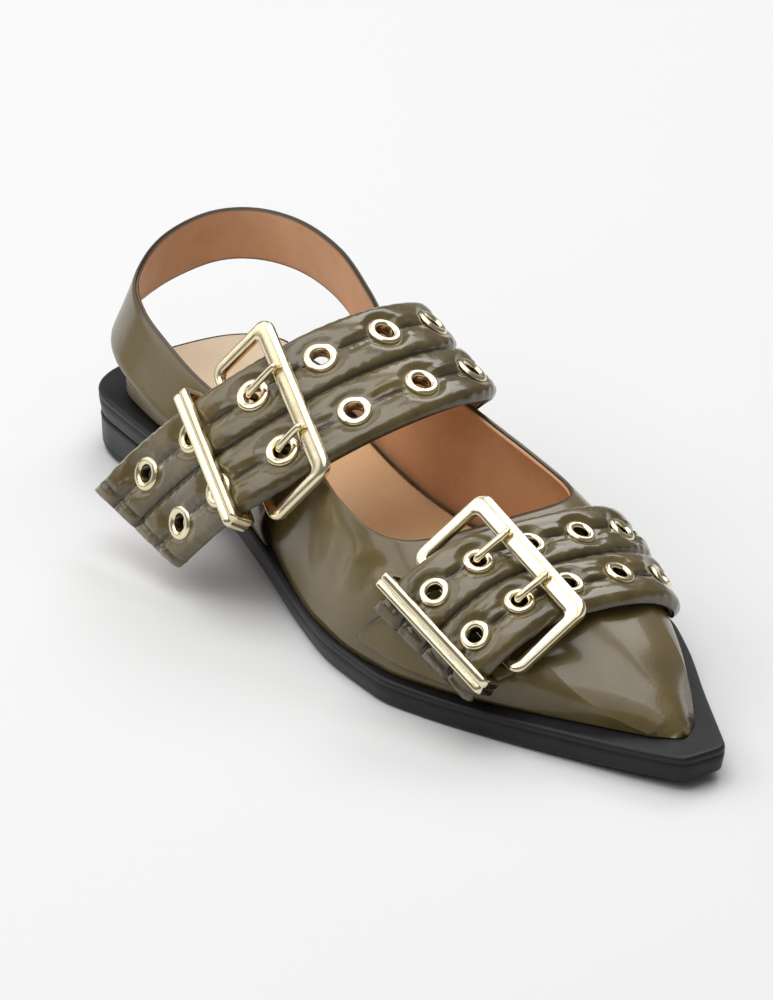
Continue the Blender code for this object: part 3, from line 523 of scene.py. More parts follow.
def makeHeel():  # a slab under the sole's back part, with the line of its top lift round the side
    x = np.linspace(0.0, heelSizes["breast"], 60)
    edges = {"x": x}
    for name, sign in (("lateral", 1.0), ("medial", -1.0)):
        edges[name] = column(soleEdge, name, x) + sign * soleSizes["taper"]
    loop, out = outlineLoop(edges, 0.0, soleSizes["round"], heelSizes["rows"], heelSizes["breastRound"])
    steps = roundedSteps(heelSizes["rim"], heelSizes["bevel"], heelSizes["taper"])
    line = ((0.3, -0.4), (0.65, -0.1), (0.65, 0.1), (0.4, 0.4))
    side = 8  # number of the step half way down
    steps[side:side + 1] = [(0.1, 0.0, 1.2)] + [(depth, 1.0, off - heelSizes["lift"]) for depth, off in line]
    slab = slabMesh(loop, out, steps, lambda x: soleBottom(x) - seamGap, lambda x: x * 0.0)
    addPiece("heel_block", slab, blackSole, ["heel"])


def footbedTop(x, rise=0.0):  # the footbed's thickness above the ledge
    return soleTop(x) + column(footbedEdge, "thick", x) + rise


def footbedBottom(x):  # a seam's gap above the ledge
    return soleTop(x) + seamGap


def makeFootbed():  # a wrapped board, and a crowned pad on it whose edge is rounded down to the wrap
    sizes = footbedSizes
    loop, out = outlineLoop(footbedEdge, sizes["back"], sizes["round"], sizes["rows"])
    steps = roundedSteps(sizes["wrap"], sizes["bevel"], 0.0)
    board = slabMesh(loop, out, steps, lambda x: footbedTop(x, -sizes["wrapDown"]), footbedBottom)
    addPiece("footbed_wrap", board, wrapLeather)
    turn = np.linspace(0.0, math.pi / 2, 6)
    inset, rounding, drop = sizes["padIn"], sizes["padRound"], sizes["padDrop"]
    steps = [(inset + 1.9, 0.0, 0.0), (inset + 1.4, 0.0, 0.02)]
    steps += [(inset + rounding * (1 - math.sin(t)), 0.0, 0.1 + drop * (1 - math.cos(t))) for t in turn]
    steps += [(inset + 0.1, 0.0, 1.3), (inset + 1.1, 0.0, 1.3)]
    rise, crown = sizes["padRise"], sizes["crown"]
    pad = slabMesh(loop, out, steps, lambda x: footbedTop(x, rise), footbedBottom, crown)
    addPiece("footbed_top", pad, footbedLeather, ["insole"])


makeSole()
makeHeel()
makeFootbed()
print("sole, heel and footbed made")


# Upper: olive outside and tan lining

upperSection = table("x lateral medial crestY crestZ power flare", (
    (60, -26.5, 24, -1, 82, 3.2, 0), (90, -25.8, 19.8, -1.5, 78, 3.2, 2.4),
    (110, -28, 20.6, -1.5, 73, 3.2, 3.6), (130, -31.4, 24.2, -1.5, 66, 3.2, 5.6),
    (150, -35, 29.6, -1, 58, 3.1, 6.2), (170, -37, 35.6, 0, 47, 3, 5.8),
    (186, -36.2, 38, 1.5, 39.2, 2.8, 4.6), (200, -32, 36, 2.2, 34.9, 2.5, 3.4),
    (215, -25.8, 31.4, 2.8, 30.6, 2.4, 2), (230, -18.2, 25, 3.4, 26, 2.35, 1),
    (245, -9.4, 17, 3.8, 20.8, 2.25, 0.4), (256, -3.2, 11.2, 4, 17.2, 2.1, 0),
    (262, 0, 8, 4, 14.5, 2, 0),
))
upperRay = table("topX angle footX", (
    (106, 30, 93), (130, 31, 122), (148, 33, 148), (163, 39, 174), (174, 51, 204),
    (179.6, 70, 240), (181, 90, 262), (179.6, 110, 240), (174, 129, 204), (163, 141, 174),
    (148, 144.5, 148), (130, 146, 122), (95, 150, 84),
))
upperSizes = {
    "wall": 1.8, "leather": 0.95, "tip": 262.0, "innerTip": 258.0, "throat": 181.0, "bulge": 1.6,
    "flarePower": 4, "nose": 14.0, "pinch": 5.0, "uneven": 0.10, "slantRun": 40.0, "rays": 220, "steps": 64,
}


def upperPoint(x, angle, inset=0.0):
    # each half section is a superellipse from the foot line to the crest, pushed out a little half way up
    # and flared at the outer foot by a falling power; over the toe the sections close by a quarter circle
    # in height and a square root in width
    sizes = upperSizes
    share = inset / sizes["wall"]
    tip = sizes["tip"] + (sizes["innerTip"] - sizes["tip"]) * share
    squeeze = (tip - sizes["throat"]) / (sizes["tip"] - sizes["throat"])
    x = np.where(x > sizes["throat"], sizes["throat"] + (x - sizes["throat"]) * squeeze, x)
    base = soleTop(x) + seamGap
    section = columnsAt(upperSection, x)
    crestY = section["crestY"]
    left = np.clip((tip - x) / sizes["nose"], 0.0, 1.0)
    height = (section["crestZ"] - inset - base) * np.sqrt(left * (2 - left))
    power = 2.0 / section["power"]
    side = np.cos(angle)
    foot = np.where(side > 0, section["lateral"] + inset, section["medial"] - inset)
    pinch = np.sqrt(np.clip((tip - x) / sizes["pinch"], 0.0, 1.0))
    half = (foot - crestY) * pinch
    rise = np.clip(np.abs(np.sin(angle)), 0.0, 1.0)
    flare = np.where(side > 0, section["flare"], 0.0) * (1 - rise) ** sizes["flarePower"]
    push = (sizes["bulge"] * np.sin(np.pi * rise) ** 2 * np.abs(side) + flare) * np.sign(half) * pinch
    y = crestY + half * np.abs(side) ** power + push
    z = base + height * rise ** power
    return np.stack(np.broadcast_arrays(x, y, z), axis=-1)


def upperAngle(points):  # angle at which a line from the middle of the foot to a point crosses the section
    x = points[..., 0]
    base = soleTop(x) + seamGap
    section = columnsAt(upperSection, x)
    off = points[..., 1] - section["crestY"]
    foot = np.where(off < 0, section["lateral"], section["medial"])
    power = section["power"] / 2.0
    wide = np.abs(off / (foot - section["crestY"])) ** power
    high = (np.maximum(points[..., 2] - base, 0.0) / (section["crestZ"] - base)) ** power
    angle = np.arctan2(high, wide)
    return np.where(off < 0, angle, math.pi - angle)


def onUpper(x, angle, lift):  # points off the upper's face along its normal, and the normal
    down = upperPoint(x, angle - 0.02) - upperPoint(x, angle + 0.02)
    ahead = upperPoint(x + 0.5, angle) - upperPoint(x - 0.5, angle)
    out = unit(np.cross(down, ahead))
    return upperPoint(x, angle) + out * np.asarray(lift)[..., None], out


def upperPlaces(down):  # section and angle of each place: rays from the top line to the foot line
    middle = (len(upperRay["topX"]) - 1) / 2
    ray = np.linspace(0.0, 2 * middle, upperSizes["rays"] + 1)
    topX = flowing(upperRay["topX"], ray)
    footX = np.minimum(flowing(upperRay["footX"], ray), upperSizes["tip"])
    topAngle = np.radians(flowing(upperRay["angle"], ray))
    footAngle = np.where(ray < middle, 0.0, math.pi)
    footAngle = np.where(np.abs(ray - middle) < 1e-6, topAngle, footAngle)
    x = topX[:, None] + (footX - topX)[:, None] * down
    angle = topAngle[:, None] + (footAngle - topAngle)[:, None] * down ** 1.15
    return x, angle


# soft troughs and ridges, listed one by one: place, slant, reach round the section, width along the shoe,
# height
upperCreases = table("x angle slant reach width height", (
    (170, 24, 0.30, 0.30, 4.5, -0.75),
    (176, 28, 0.34, 0.24, 3.2, 0.55),
    (164, 21, 0.26, 0.26, 3.6, 0.45),
    (158, 18, 0.22, 0.26, 5.5, -0.50),
    (146, 15, 0.18, 0.22, 7, -0.35),
    (168, 157, -0.30, 0.30, 5, -0.30),
    (152, 160, -0.20, 0.26, 6.5, -0.24),
    (229, 60, 0.25, 0.40, 5, 0.16),
))


def upperRelief(x, angle):  # sum of the listed creases and a slow unevenness of the pulled leather
    relief = upperSizes["uneven"] * ripple(x / 9.0, angle * 5.0, 0.7)
    for cx, ca, slant, reach, width, height in zip(*upperCreases.values()):
        turn = angle - math.radians(ca)
        run = slant * upperSizes["slantRun"] * turn
        relief = relief + height * bump(turn, reach) * bump(x - cx - run, width)
    return relief


def makeUpper():  # leather with its creases, and a lining that stops just below the top line
    steps = upperSizes["steps"]
    down = np.linspace(0.0, 1.0, steps + 1)[None, :]
    x, angle = upperPlaces(down)
    # creases die out at the top line, the foot line and the toe
    fade = ease(down / 0.08) * ease((1 - down) / 0.12) * ease((upperSizes["tip"] - 12 - x) / 20)
    raised = onUpper(x, angle, upperRelief(x, angle) * fade)[0]
    thick = upperSizes["leather"]
    inner = upperPoint(x, angle, thick)
    raised[:, 0] = (raised[:, 0] + inner[:, 0]) / 2 + (raised[:, 0] - raised[:, 1]) * 0.15  # rounded top line
    edge = np.zeros(x.shape)
    edge[:, :2] = (0.9, 0.25)  # dyed top line
    shade = np.tile(edge.ravel(), 2)
    addPiece("vamp_leather", wallMesh(raised, inner), oliveLeather, ["upper"], shade)
    lower = np.linspace(0.012, 1.0, steps + 1)[None, :]
    x, angle = upperPlaces(lower)
    lining = wallMesh(upperPoint(x, angle, thick + 0.05), upperPoint(x, angle, upperSizes["wall"]))
    addPiece("vamp_lining", lining, tanLining)


makeUpper()
print("upper made")


# Padded straps

toeStrapLine = table("angle x room flare", (
    (178.4, 186, 0.4, 1.14), (160, 192, 0.7, 1.05), (138, 198.5, 0.9, 1), (111, 201.8, 0.9, 1),
    (87, 203.4, 2.2, 1), (62, 204, 5.2, 1), (42, 203.2, 6.4, 1), (28, 201.6, 6.7, 1),
    (16, 199, 5.4, 1),
))
instepStrapLine = table("x y z acrossY acrossZ", (
    (79.5, 25.2, 17.9, -0.03, -0.115), (86.5, 30, 32, 0, -0.2), (98.5, 34, 46.5, 0.03, -0.28),
    (113.5, 28, 58.4, 0.02, -0.32), (121.3, 8, 64, -0.01, -0.36), (122.6, -14.4, 62.2, -0.04, -0.39),
    (117.4, -34.2, 53.4, -0.1, -0.4), (107.8, -48.4, 41.2, -0.14, -0.38), (93.6, -53.6, 26.2, -0.06, -0.33),
    (83, -59.5, 12.2, 0.08, -0.2),
))
toeStrap = {
    "name": "toe_strap", "width": 38.5, "row": 8.8, "flange": 4.3, "hole": 2.1, "bar": 70.0, "hinge": 21.5,
    "frameLength": 49.0, "frameDepth": 27.0, "frameRoom": 2.4, "frameTurn": 3.0, "prong": 9.0, "keeper": 31.2,
    "keeperTurn": 0.0, "eyelets": (-43.0, -25.5, -8.0, 9.0, 24.0), "rows": 150, "phase": 0.4, "settles": 2.0,
    "rises": 3.0, "lining": wrapLeather, "liningSlot": "olive_leather",
}
instepStrap = {
    "name": "instep_strap", "width": 42.0, "row": 10.5, "flange": 5.0, "hole": 2.5, "bar": 116.0,
    "hinge": 20.8, "frameLength": 54.0, "frameDepth": 26.0, "frameRoom": 1.9, "frameTurn": 6.0, "prong": 9.5,
    "keeper": 28.8, "keeperTurn": 4.0, "eyelets": (-78.5, -56.5, -34.5, -12.5, 9.5, 31.5, 53.5), "rows": 230,
    "phase": 1.9, "lining": tanLining, "liningSlot": "tan_leather",
}
padding = {
    "channels": 4, "swell": 1.35, "uneven": 0.16, "seam": 1.05, "draw": 0.12, "pucker": 0.2,
    "puckerWaves": 1.45, "pull": 0.2, "pullWaves": 1.9, "gather": 0.3, "gatherReach": 6.5, "seamShade": 0.85,
    "edgeShade": 0.85, "endSeam": 0.55, "endSeamAt": 4.4, "pressed": 0.12, "solidSwell": 0.9, "back": 2.4,
    "backing": 0.8, "edgeDrop": 1.5, "edgeReach": 2.6, "endRound": 1.7, "columns": 97,
}
stitchSizes = {
    "pitch": 3.2, "length": 2.3, "radius": 0.26, "bow": 0.22, "lift": 0.12, "room": 1.4,
    "sides": 6, "rows": 5,
}


def strapRows(count, last):  # row numbers, close together at both ends where the strap is rounded over
    even = np.linspace(0.0, last, count)
    close = np.array([0.0, 0.004, 0.011, 0.021, 0.034, 0.05])
    return np.unique(np.concatenate((close, even[2:-2], last - close)))


def toeStrapPlaces(shares):
    # square to its middle line, laid on the upper, then straight across where the buckle lifts it
    rows = strapRows(toeStrap["rows"], len(toeStrapLine["angle"]) - 1.0)
    angle = np.radians(flowing(toeStrapLine["angle"], rows))
    lift = flowing(toeStrapLine["room"], rows) + padding["back"]
    middle, out = onUpper(flowing(toeStrapLine["x"], rows), angle, lift)
    across = unit(np.cross(out, np.gradient(middle, axis=0)))
    spread = flowing(toeStrapLine["flare"], rows)[:, None] * toeStrap["width"] * shares[None, :]
    flat = broad(middle, across, spread)
    turn = angle[:, None] + (upperAngle(flat) - angle[:, None]) * ease(rows / toeStrap["settles"])[:, None]
    laid = onUpper(flat[..., 0], turn, np.broadcast_to(lift[:, None], spread.shape))[0]
    return laid + (flat - laid) * ease((rows - toeStrap["rises"]) / 2)[:, None, None]


def instepStrapPlaces(shares):  # straight across between its two edges
    rows = strapRows(instepStrap["rows"], len(instepStrapLine["x"]) - 1.0)
    middle = flowing(np.stack([instepStrapLine[name] for name in "xyz"], axis=-1), rows)
    acrossY = flowing(instepStrapLine["acrossY"], rows)
    acrossZ = flowing(instepStrapLine["acrossZ"], rows)
    across = np.stack((np.sqrt(1 - acrossY ** 2 - acrossZ ** 2), acrossY, acrossZ), axis=-1)
    return broad(middle, across, shares * instepStrap["width"])


def layStrap(strap, placesOf):  # grid of the strap's base, its normals and length, and its eyelets' places
    shares = np.linspace(-0.5, 0.5, padding["columns"])
    strap["places"] = placesOf(shares)
    strap["normals"] = gridNormals(strap["places"])
    strap["shares"] = shares
    strap["length"] = alongLength(strap["places"][:, padding["columns"] // 2])
    strap["spots"] = []
    for number, beyond in enumerate(strap["eyelets"], 1):
        strap["spots"].append((f"rear_{number}", beyond, -strap["row"]))
        strap["spots"].append((f"front_{number}", beyond, strap["row"]))


def sampleGrid(grid, row, columnAt):  # bilinear
    i = np.minimum(np.asarray(row, float).astype(int), grid.shape[0] - 2)
    j = np.minimum(np.asarray(columnAt, float).astype(int), grid.shape[1] - 2)
    u = (row - i)[..., None]
    v = (columnAt - j)[..., None]
    near = grid[i, j] * (1 - v) + grid[i, j + 1] * v
    return near * (1 - u) + (grid[i + 1, j] * (1 - v) + grid[i + 1, j + 1] * v) * u


def strapFrame(strap, beyondBar, side=0.0):
    # place, along, across and normal at a length past the buckle's outer bar and off the middle line
    row = np.interp(strap["bar"] + beyondBar, strap["length"], np.arange(len(strap["length"])))
    last = strap["places"].shape[1] - 1
    at = (side / strap["width"] + 0.5) * last
    row, at = np.asarray(row, float), np.asarray(at, float)
    place = sampleGrid(strap["places"], row, at)
    normal = unit(sampleGrid(strap["normals"], row, at))
    across = sampleGrid(strap["places"], row, at * 0 + last) - sampleGrid(strap["places"], row, at * 0)
    across = unit(across - normal * np.dot(across, normal))
    return place, np.cross(across, normal), across, normal


def eyeletGap(strap, s, off):  # distance to the middle of the nearest eyelet
    gap = np.full(np.broadcast(s, off).shape, 1e3)
    for _, beyond, side in strap["spots"]:
        gap = np.minimum(gap, np.hypot(s - strap["bar"] - beyond, off - side))
    return gap


def strapRelief(strap):
    # height over the leather's base: stuffed channels as a softened sine less a sharp trough at each seam,
    # deepest in the middle, drawn in at every stitch, puckered across the seams, pulled into lengthwise
    # ridges, gathered into folds that widen away from each eyelet, pressed flat round the eyelets, and
    # rolled down at both edges
    s = strap["length"][:, None]
    w = strap["shares"][None, :]
    wave = np.abs(np.sin((w + 0.5) * padding["channels"] * math.pi))
    uneven = ripple(s / 13.0, w * 9.0, strap["phase"])
    height = padding["swell"] * wave ** 0.55 * (1 + padding["uneven"] * uneven)
    seam = padding["seam"] * np.where(np.abs(w) < 0.125, 1.0, 0.6)
    inside = ease((0.5 - np.abs(w)) / 0.06)
    height = height - seam * (1 - wave) ** 5 * inside
    stitched = 0.5 + 0.5 * np.cos(s * 2 * math.pi / stitchSizes["pitch"])
    height = height - padding["draw"] * (1 - wave) ** 3 * stitched * inside
    drift = 2.3 * np.sin(s * 0.19 + strap["phase"])
    pucker = np.sin(s * padding["puckerWaves"] + drift + np.sign(w) * 0.9)
    height = height + padding["pucker"] * pucker * bump(wave - 0.35, 0.45) * (0.6 + 0.4 * uneven)
    across = w * strap["width"]
    pulls = np.sin(across * padding["pullWaves"] + 1.1 * np.sin(s * 0.21 + strap["phase"]))
    swing = 0.65 + 0.35 * np.sin(s * 0.35)
    height = height + padding["pull"] * pulls * bump(np.abs(w) - 0.25, 0.17) * swing
    away = np.min(np.abs(s - strap["bar"] - np.array(strap["eyelets"])[None, :]), axis=1, keepdims=True)
    off = np.abs(across) - strap["row"]
    folds = np.cos(off * 2 * math.pi / (1.9 + 0.17 * away) + 0.5 * uneven)
    height = height + padding["gather"] * folds * bump(off, padding["gatherReach"]) * (0.7 + 0.3 * uneven)
    near = eyeletGap(strap, s, across)
    pressed = ease((near - strap["flange"] * 0.85) / (strap["flange"] * 0.8))
    height = height * pressed + padding["pressed"] * (1 - pressed)
    fromEnd = np.minimum(s, s[-1] - s)
    fromSeam = fromEnd - padding["endSeamAt"]
    height = height * (0.45 + 0.55 * ease(fromEnd / 3.5)) - padding["endSeam"] * bump(fromSeam, 1.5)
    # painted shade: the colour is darkened in the seams' troughs and in the groove of the end seam
    seams = (1 - wave) ** 3 * inside * pressed
    strap["shade"] = padding["seamShade"] * np.maximum(seams, bump(fromSeam, 1.0))
    toEdge = strap["width"] / 2 - np.abs(across)
    return height - padding["edgeDrop"] * np.clip(1 - toEdge / padding["edgeReach"], 0.0, 1.0) ** 2


def turnedRings(place, along, across, normal, profile, sides):
    # a profile of radius and height turned about the normal
    c, s = circle(sides)
    spokes = c[:, None] * along + s[:, None] * across
    profile = np.asarray(profile, float)
    return place + profile[None, :, 0, None] * spokes[:, None, :] + profile[None, :, 1, None] * normal


def strapRings(strap, top, low, trim, roundEnds):
    # closed rings round the strap: the top heights, then back along the low level; ends are rounded over
    places, normals = strap["places"], strap["normals"]
    keep = np.abs(strap["shares"]) * strap["width"] <= strap["width"] / 2 - trim
    upper = places[:, keep] + normals[:, keep] * top[:, keep, None]
    lower = (places[:, keep] + normals[:, keep] * low)[:, ::-1][:, ::2]
    rings = np.concatenate((upper, lower), axis=1)
    middle = (upper.mean(axis=1, keepdims=True) + lower.mean(axis=1, keepdims=True)) / 2
    core = places[:, keep].mean(axis=1, keepdims=True)
    normal = unit(normals[:, keep].mean(axis=1, keepdims=True))
    fromEnd = np.minimum(strap["length"], strap["length"][-1] - strap["length"])
    squash = np.sqrt(np.clip(1 - (1 - np.clip(fromEnd / roundEnds, 0.0, 1.0)) ** 2, 0.0, 1.0)) * 0.5 + 0.5
    level = np.sum((rings - core) * normal, axis=-1, keepdims=True)
    mean = np.sum((middle - core) * normal, axis=-1, keepdims=True)
    return rings + normal * ((level - mean) * (squash[:, None, None] - 1))


def strapCutters(strap, radius):  # a round bar through each eyelet's place
    cutters = []
    for _, beyond, side in strap["spots"]:
        rings = turnedRings(*strapFrame(strap, beyond, side), ((radius, 4.0), (radius, -6.0)), 28)
        cutters.append(sweptMesh(rings.transpose(1, 0, 2)))
    return cutters


def makeStrap(strap):  # padded leather with painted shade in its seams and dyed cut edges, and a backing under it, both with the eyelets' holes
    name = strap["name"]
    top = strapRelief(strap)
    strap["relief"] = top
    middle = -padding["back"] + padding["backing"]
    rings = strapRings(strap, top, middle, 0.0, padding["endRound"])
    points, faces = sweptMesh(rings)
    edge = np.zeros(rings.shape[:2])
    # painted shade in the seams, dye on both cut edges, and a darker lower side
    edge[:, :padding["columns"]] = strap["shade"]
    edge[:, [0, padding["columns"] - 1]] = padding["edgeShade"]
    edge[:, padding["columns"]:] = 0.6
    cutters = strapCutters(strap, strap["hole"] + 0.75)
    body = cutHoles(newMesh(name, points, faces, edge.ravel()), cutters)
    piece = addPiece(f"{name}_leather", body, strapLeather, [name])
    flat = np.full(top.shape, middle - 0.05)
    backing = newMesh(f"{name}_backing", *sweptMesh(strapRings(strap, flat, -padding["back"], 0.5, 1.0)))
    addPiece(f"{name}_backing", cutHoles(backing, cutters), strap["lining"])


eyelet = {"height": 0.95, "barrel": 0.5, "sides": 40}


def makeEyelets(strap):
    # a half round roll from the flange's rim to the hole, then a barrel through the strap, with painted shade
    # inside the barrel and under the flange
    hole, flange = strap["hole"], strap["flange"]
    half = (flange - hole) / 2
    turn = np.radians(np.linspace(0.0, 180.0, 17))
    roll = [(hole + half + half * math.cos(t), 0.15 + eyelet["height"] * math.sin(t) ** 0.9) for t in turn]
    foot = -padding["back"] - 0.3
    profile = roll + [(hole, -0.2), (hole, -0.8), (hole, foot), (hole + eyelet["barrel"], foot),
                      (hole + eyelet["barrel"], -0.3), (flange - 0.4, -0.1)]
    # painted shade: the barrel and the flange's underside are darkened
    paintedHoleShade = np.zeros(len(profile))
    paintedHoleShade[len(roll):] = (0.35, 0.8, 1.0, 1.0, 1.0, 0.3)
    shade = np.tile(paintedHoleShade, eyelet["sides"])
    for spot, beyond, side in strap["spots"]:
        node = f"{strap['name']}_eyelet_{spot}"
        rings = turnedRings(*strapFrame(strap, beyond, side), profile, eyelet["sides"])
        addPiece(f"{node}_ring", ringMesh(rings), paleGold, [node], shade)


layStrap(toeStrap, toeStrapPlaces)
layStrap(instepStrap, instepStrapPlaces)
for strap in (toeStrap, instepStrap):
    makeStrap(strap)
    makeEyelets(strap)
print("straps and eyelets made")


# Buckles

buckleSizes = {
    "side": 3.7, "bar": 6.0, "hingeBar": 3.0, "thick": 3.0, "corner": 4.0, "innerCorner": 1.6,
    "prong": 1.1, "prongPast": 1.2, "prongRest": 3.7, "prongArch": 2.1, "keeperLong": 4.6, "keeperThick": 2.0,
    "keeperRoom": 0.8, "ridge": 0.28,
}


def roundedLoop(low, high, radius, count=26):  # rectangle with round corners, arcs and runs evenly sampled
    (x0, y0), (x1, y1) = low, high
    corners = ((x1 - radius, y1 - radius, 0.0), (x0 + radius, y1 - radius, 90.0),
               (x0 + radius, y0 + radius, 180.0), (x1 - radius, y0 + radius, 270.0))
    arcs = []
    for x, y, start in corners:
        turn = np.radians(start + np.linspace(0.0, 90.0, 13))
        arcs.append(np.stack((x + radius * np.cos(turn), y + radius * np.sin(turn)), axis=-1))
    pieces = []
    for arc, after in zip(arcs, arcs[1:] + arcs[:1]):
        run = np.linspace(0.0, 1.0, count)[1:-1, None]
        pieces += [arc, arc[-1] + (after[0] - arc[-1]) * run]
    return np.concatenate(pieces)


def squareRound(count, power):  # superellipse: flat faces with rounded corners
    c, s = circle(count)
    return np.sign(c) * np.abs(c) ** (2 / power), np.sign(s) * np.abs(s) ** (2 / power)


def turned(first, second, degrees):  # two square directions turned in their plane
    c, s = math.cos(math.radians(degrees)), math.sin(math.radians(degrees))
    return first * c + second * s, second * c - first * s


def seatBuckle(strap):  # the outer bar lies on the strap and the hinge bar under it, a little askew
    room = strap["frameRoom"] + buckleSizes["thick"] / 2
    bar, _, across, normal = strapFrame(strap, 0.0)
    hinge, _, hingeAcross, hingeNormal = strapFrame(strap, strap["hinge"])
    barAt = bar + normal * (padding["solidSwell"] + room)
    hingeAt = hinge - hingeNormal * (padding["back"] + room)
    across = unit(across + hingeAcross)
    down = hingeAt - barAt
    across, down = turned(across, unit(down - across * np.dot(down, across)), strap["frameTurn"])
    up = np.cross(across, -down)
    if np.dot(up, normal) < 0:
        up = -up
    return barAt, hingeAt, across, down, up


def makeFrame(name, strap, seat):
    # a squared oval carried round between an outer and an inner outline
    sizes = buckleSizes
    length = strap["frameLength"] / 2
    half = strap["frameDepth"] / 2
    bar, _, across, down, up = seat
    centre = bar + down * (half - sizes["bar"] / 2)
    outer = roundedLoop((-length, -half), (length, half), sizes["corner"])
    low = (-length + sizes["side"], -half + sizes["bar"])
    high = (length - sizes["side"], half - sizes["hingeBar"])
    inner = roundedLoop(low, high, sizes["innerCorner"])
    wide, level = squareRound(28, 3.2)
    plan = broad((outer + inner) / 2, (outer - inner) / 2, wide)
    rise = (level * sizes["thick"] / 2)[:, None] * up
    rings = centre + plan[..., :1] * across + plan[..., 1:] * down + rise
    addPiece(f"{name}_plated", ringMesh(rings), paleGold, [name])


def makeProng(name, strap, seat, side):
    # a round pin from the hinge bar, up through an eyelet and down on the outer bar, thinned at its tip
    sizes = buckleSizes
    radius = sizes["prong"]
    eye, _, _, normal = strapFrame(strap, strap["prong"], side)
    rest = sizes["thick"] / 2 + seamGap + radius
    below = padding["back"] + 2 * seamGap + radius + 0.4
    reach = strap["frameDepth"] - sizes["bar"] / 2 - sizes["hingeBar"]
    bar, _, across, down, up = seat
    start = bar + down * (reach - seamGap - radius) + across * side - up * 0.6
    tip = bar + across * side + up * rest - down * sizes["prongPast"]
    barEdge = tip + down * sizes["prongRest"]
    entry = eye - normal * below + (start - eye) * 0.22
    throat = eye - normal * (padding["back"] - 0.8)
    control = np.array([start, entry, throat, eye + normal * sizes["prongArch"], barEdge, tip])
    path = flowing(control, np.linspace(0.0, len(control) - 1.0, 60))
    ahead = unit(np.gradient(path, axis=0))
    wide = unit(np.cross(ahead, np.cross(across, ahead)))
    high = np.cross(wide, ahead)
    share = np.linspace(0.0, 1.0, len(path))
    thin = radius * np.sqrt(np.clip((1 - share) / 0.06, 0.05, 1.0)) * np.sqrt(np.clip(share / 0.03, 0.1, 1.0))
    flat = 1 - 0.25 * ease((share - 0.75) / 0.2)
    c, s = circle(18)
    rings = broad(path, wide, thin[:, None] * c) + high[:, None, :] * ((thin * flat)[:, None] * s)[..., None]
    addPiece(f"{name}_plated", sweptMesh(rings), paleGold, [name])


def makeKeeper(name, strap):
    # a squared loop round the strap; its outer face carries two ridges with a groove between them
    sizes = buckleSizes
    place, along, across, normal = strapFrame(strap, strap["keeper"])
    across, along = turned(across, along, strap["keeperTurn"])
    low = -padding["back"] - sizes["keeperRoom"]
    high = padding["solidSwell"] + sizes["keeperRoom"]
    centre = place + normal * (low + high) / 2
    halfHigh = (high - low) / 2
    halfWide = strap["width"] / 2 + sizes["keeperRoom"]
    thick = sizes["keeperThick"]
    inner = roundedLoop((-halfWide, -halfHigh), (halfWide, halfHigh), 0.8, 16)
    outer = roundedLoop((-halfWide - thick, -halfHigh - thick), (halfWide + thick, halfHigh + thick), 1.8, 16)
    half = sizes["keeperLong"] / 2
    groove = sizes["ridge"] / thick
    # share of the thickness from the inside out, and place along the strap
    section = [(0.0, -half), (0.5, -half), (0.86, -half + 0.05), (0.97, -half + 0.25), (1.0, -half + 0.6),
               (1.0, -0.5), (1.0 - groove, -0.16), (1.0 - groove, 0.16), (1.0, 0.5), (1.0, half - 0.6),
               (0.97, half - 0.25), (0.86, half - 0.05), (0.5, half), (0.0, half), (0.0, 0.0)]
    share, away = np.array(section).T
    plan = broad(inner, outer - inner, share)
    rings = centre + plan[..., :1] * across + plan[..., 1:] * normal + away[:, None] * along
    mesh = newMesh(name, *ringMesh(rings))
    mesh.set_sharp_from_angle(angle=math.radians(50))
    addPiece(f"{name}_plated", mesh, paleGold, [name])


seats = {}
for strap, name in ((toeStrap, "toe_buckle"), (instepStrap, "instep_buckle")):
    seats[name] = seatBuckle(strap)
    makeFrame(f"{name}_frame", strap, seats[name])
    for number, side in enumerate((-strap["row"], strap["row"]), 1):
        makeProng(f"{name}_prong_{number}", strap, seats[name], side)
    makeKeeper(f"{name}_keeper", strap)
print("buckles made")


# Buckle tabs and the heel sling

tabSizes = {
    "thick": 1.6, "width": 36.0, "flare": 0.12, "footX": 194.0, "footAngle": 0.06, "belowHinge": 7.8,
    "rounding": 0.7, "rows": 60, "columns": 49,
}
instepTab = {"width": 30.0, "foot": (98.0, -32.3), "turn": 0.11, "lean": 3.0}
slingLine = table("x y z lean", (
    (82, 24.6, 45, 0), (68, 27.2, 51, 2), (50, 29.8, 55.5, 4), (30, 29.4, 57, 6),
    (14, 24, 56.6, 8), (5, 14, 55, 10), (2, 1, 51, 12), (5, -11.5, 46.5, 18),
    (13.5, -21.5, 43.6, 24), (28, -28, 42, 28), (45, -30.6, 39.6, 28), (62, -30.8, 36, 24),
    (80, -28.5, 32.4, 13), (90, -28.5, 30.6, 7), (101, -30.4, 28.8, 4),
))
sling = {"width": 17.0, "thick": 2.0, "leather": 1.1, "rounding": 0.6, "rows": 200, "columns": 23}


def bandWall(face, normal, high, low, rounding):
    # a wall between two levels off a face whose long edges are eased over, with the dye mark of its cut edges
    columns = face.shape[1]
    across = np.linspace(-1.0, 1.0, columns)
    eased = (1 - np.abs(across) ** 14) * rounding + (1 - rounding)
    middle = (high + low) / 2
    outer = face + normal * (middle + (high - middle) * eased)[None, :, None]
    inner = face + normal * (middle + (low - middle) * eased)[None, :, None]
    edge = np.broadcast_to((np.abs(across) ** 30)[None, :], face.shape[:2])
    return wallMesh(outer, inner), np.tile(edge.ravel(), 2)


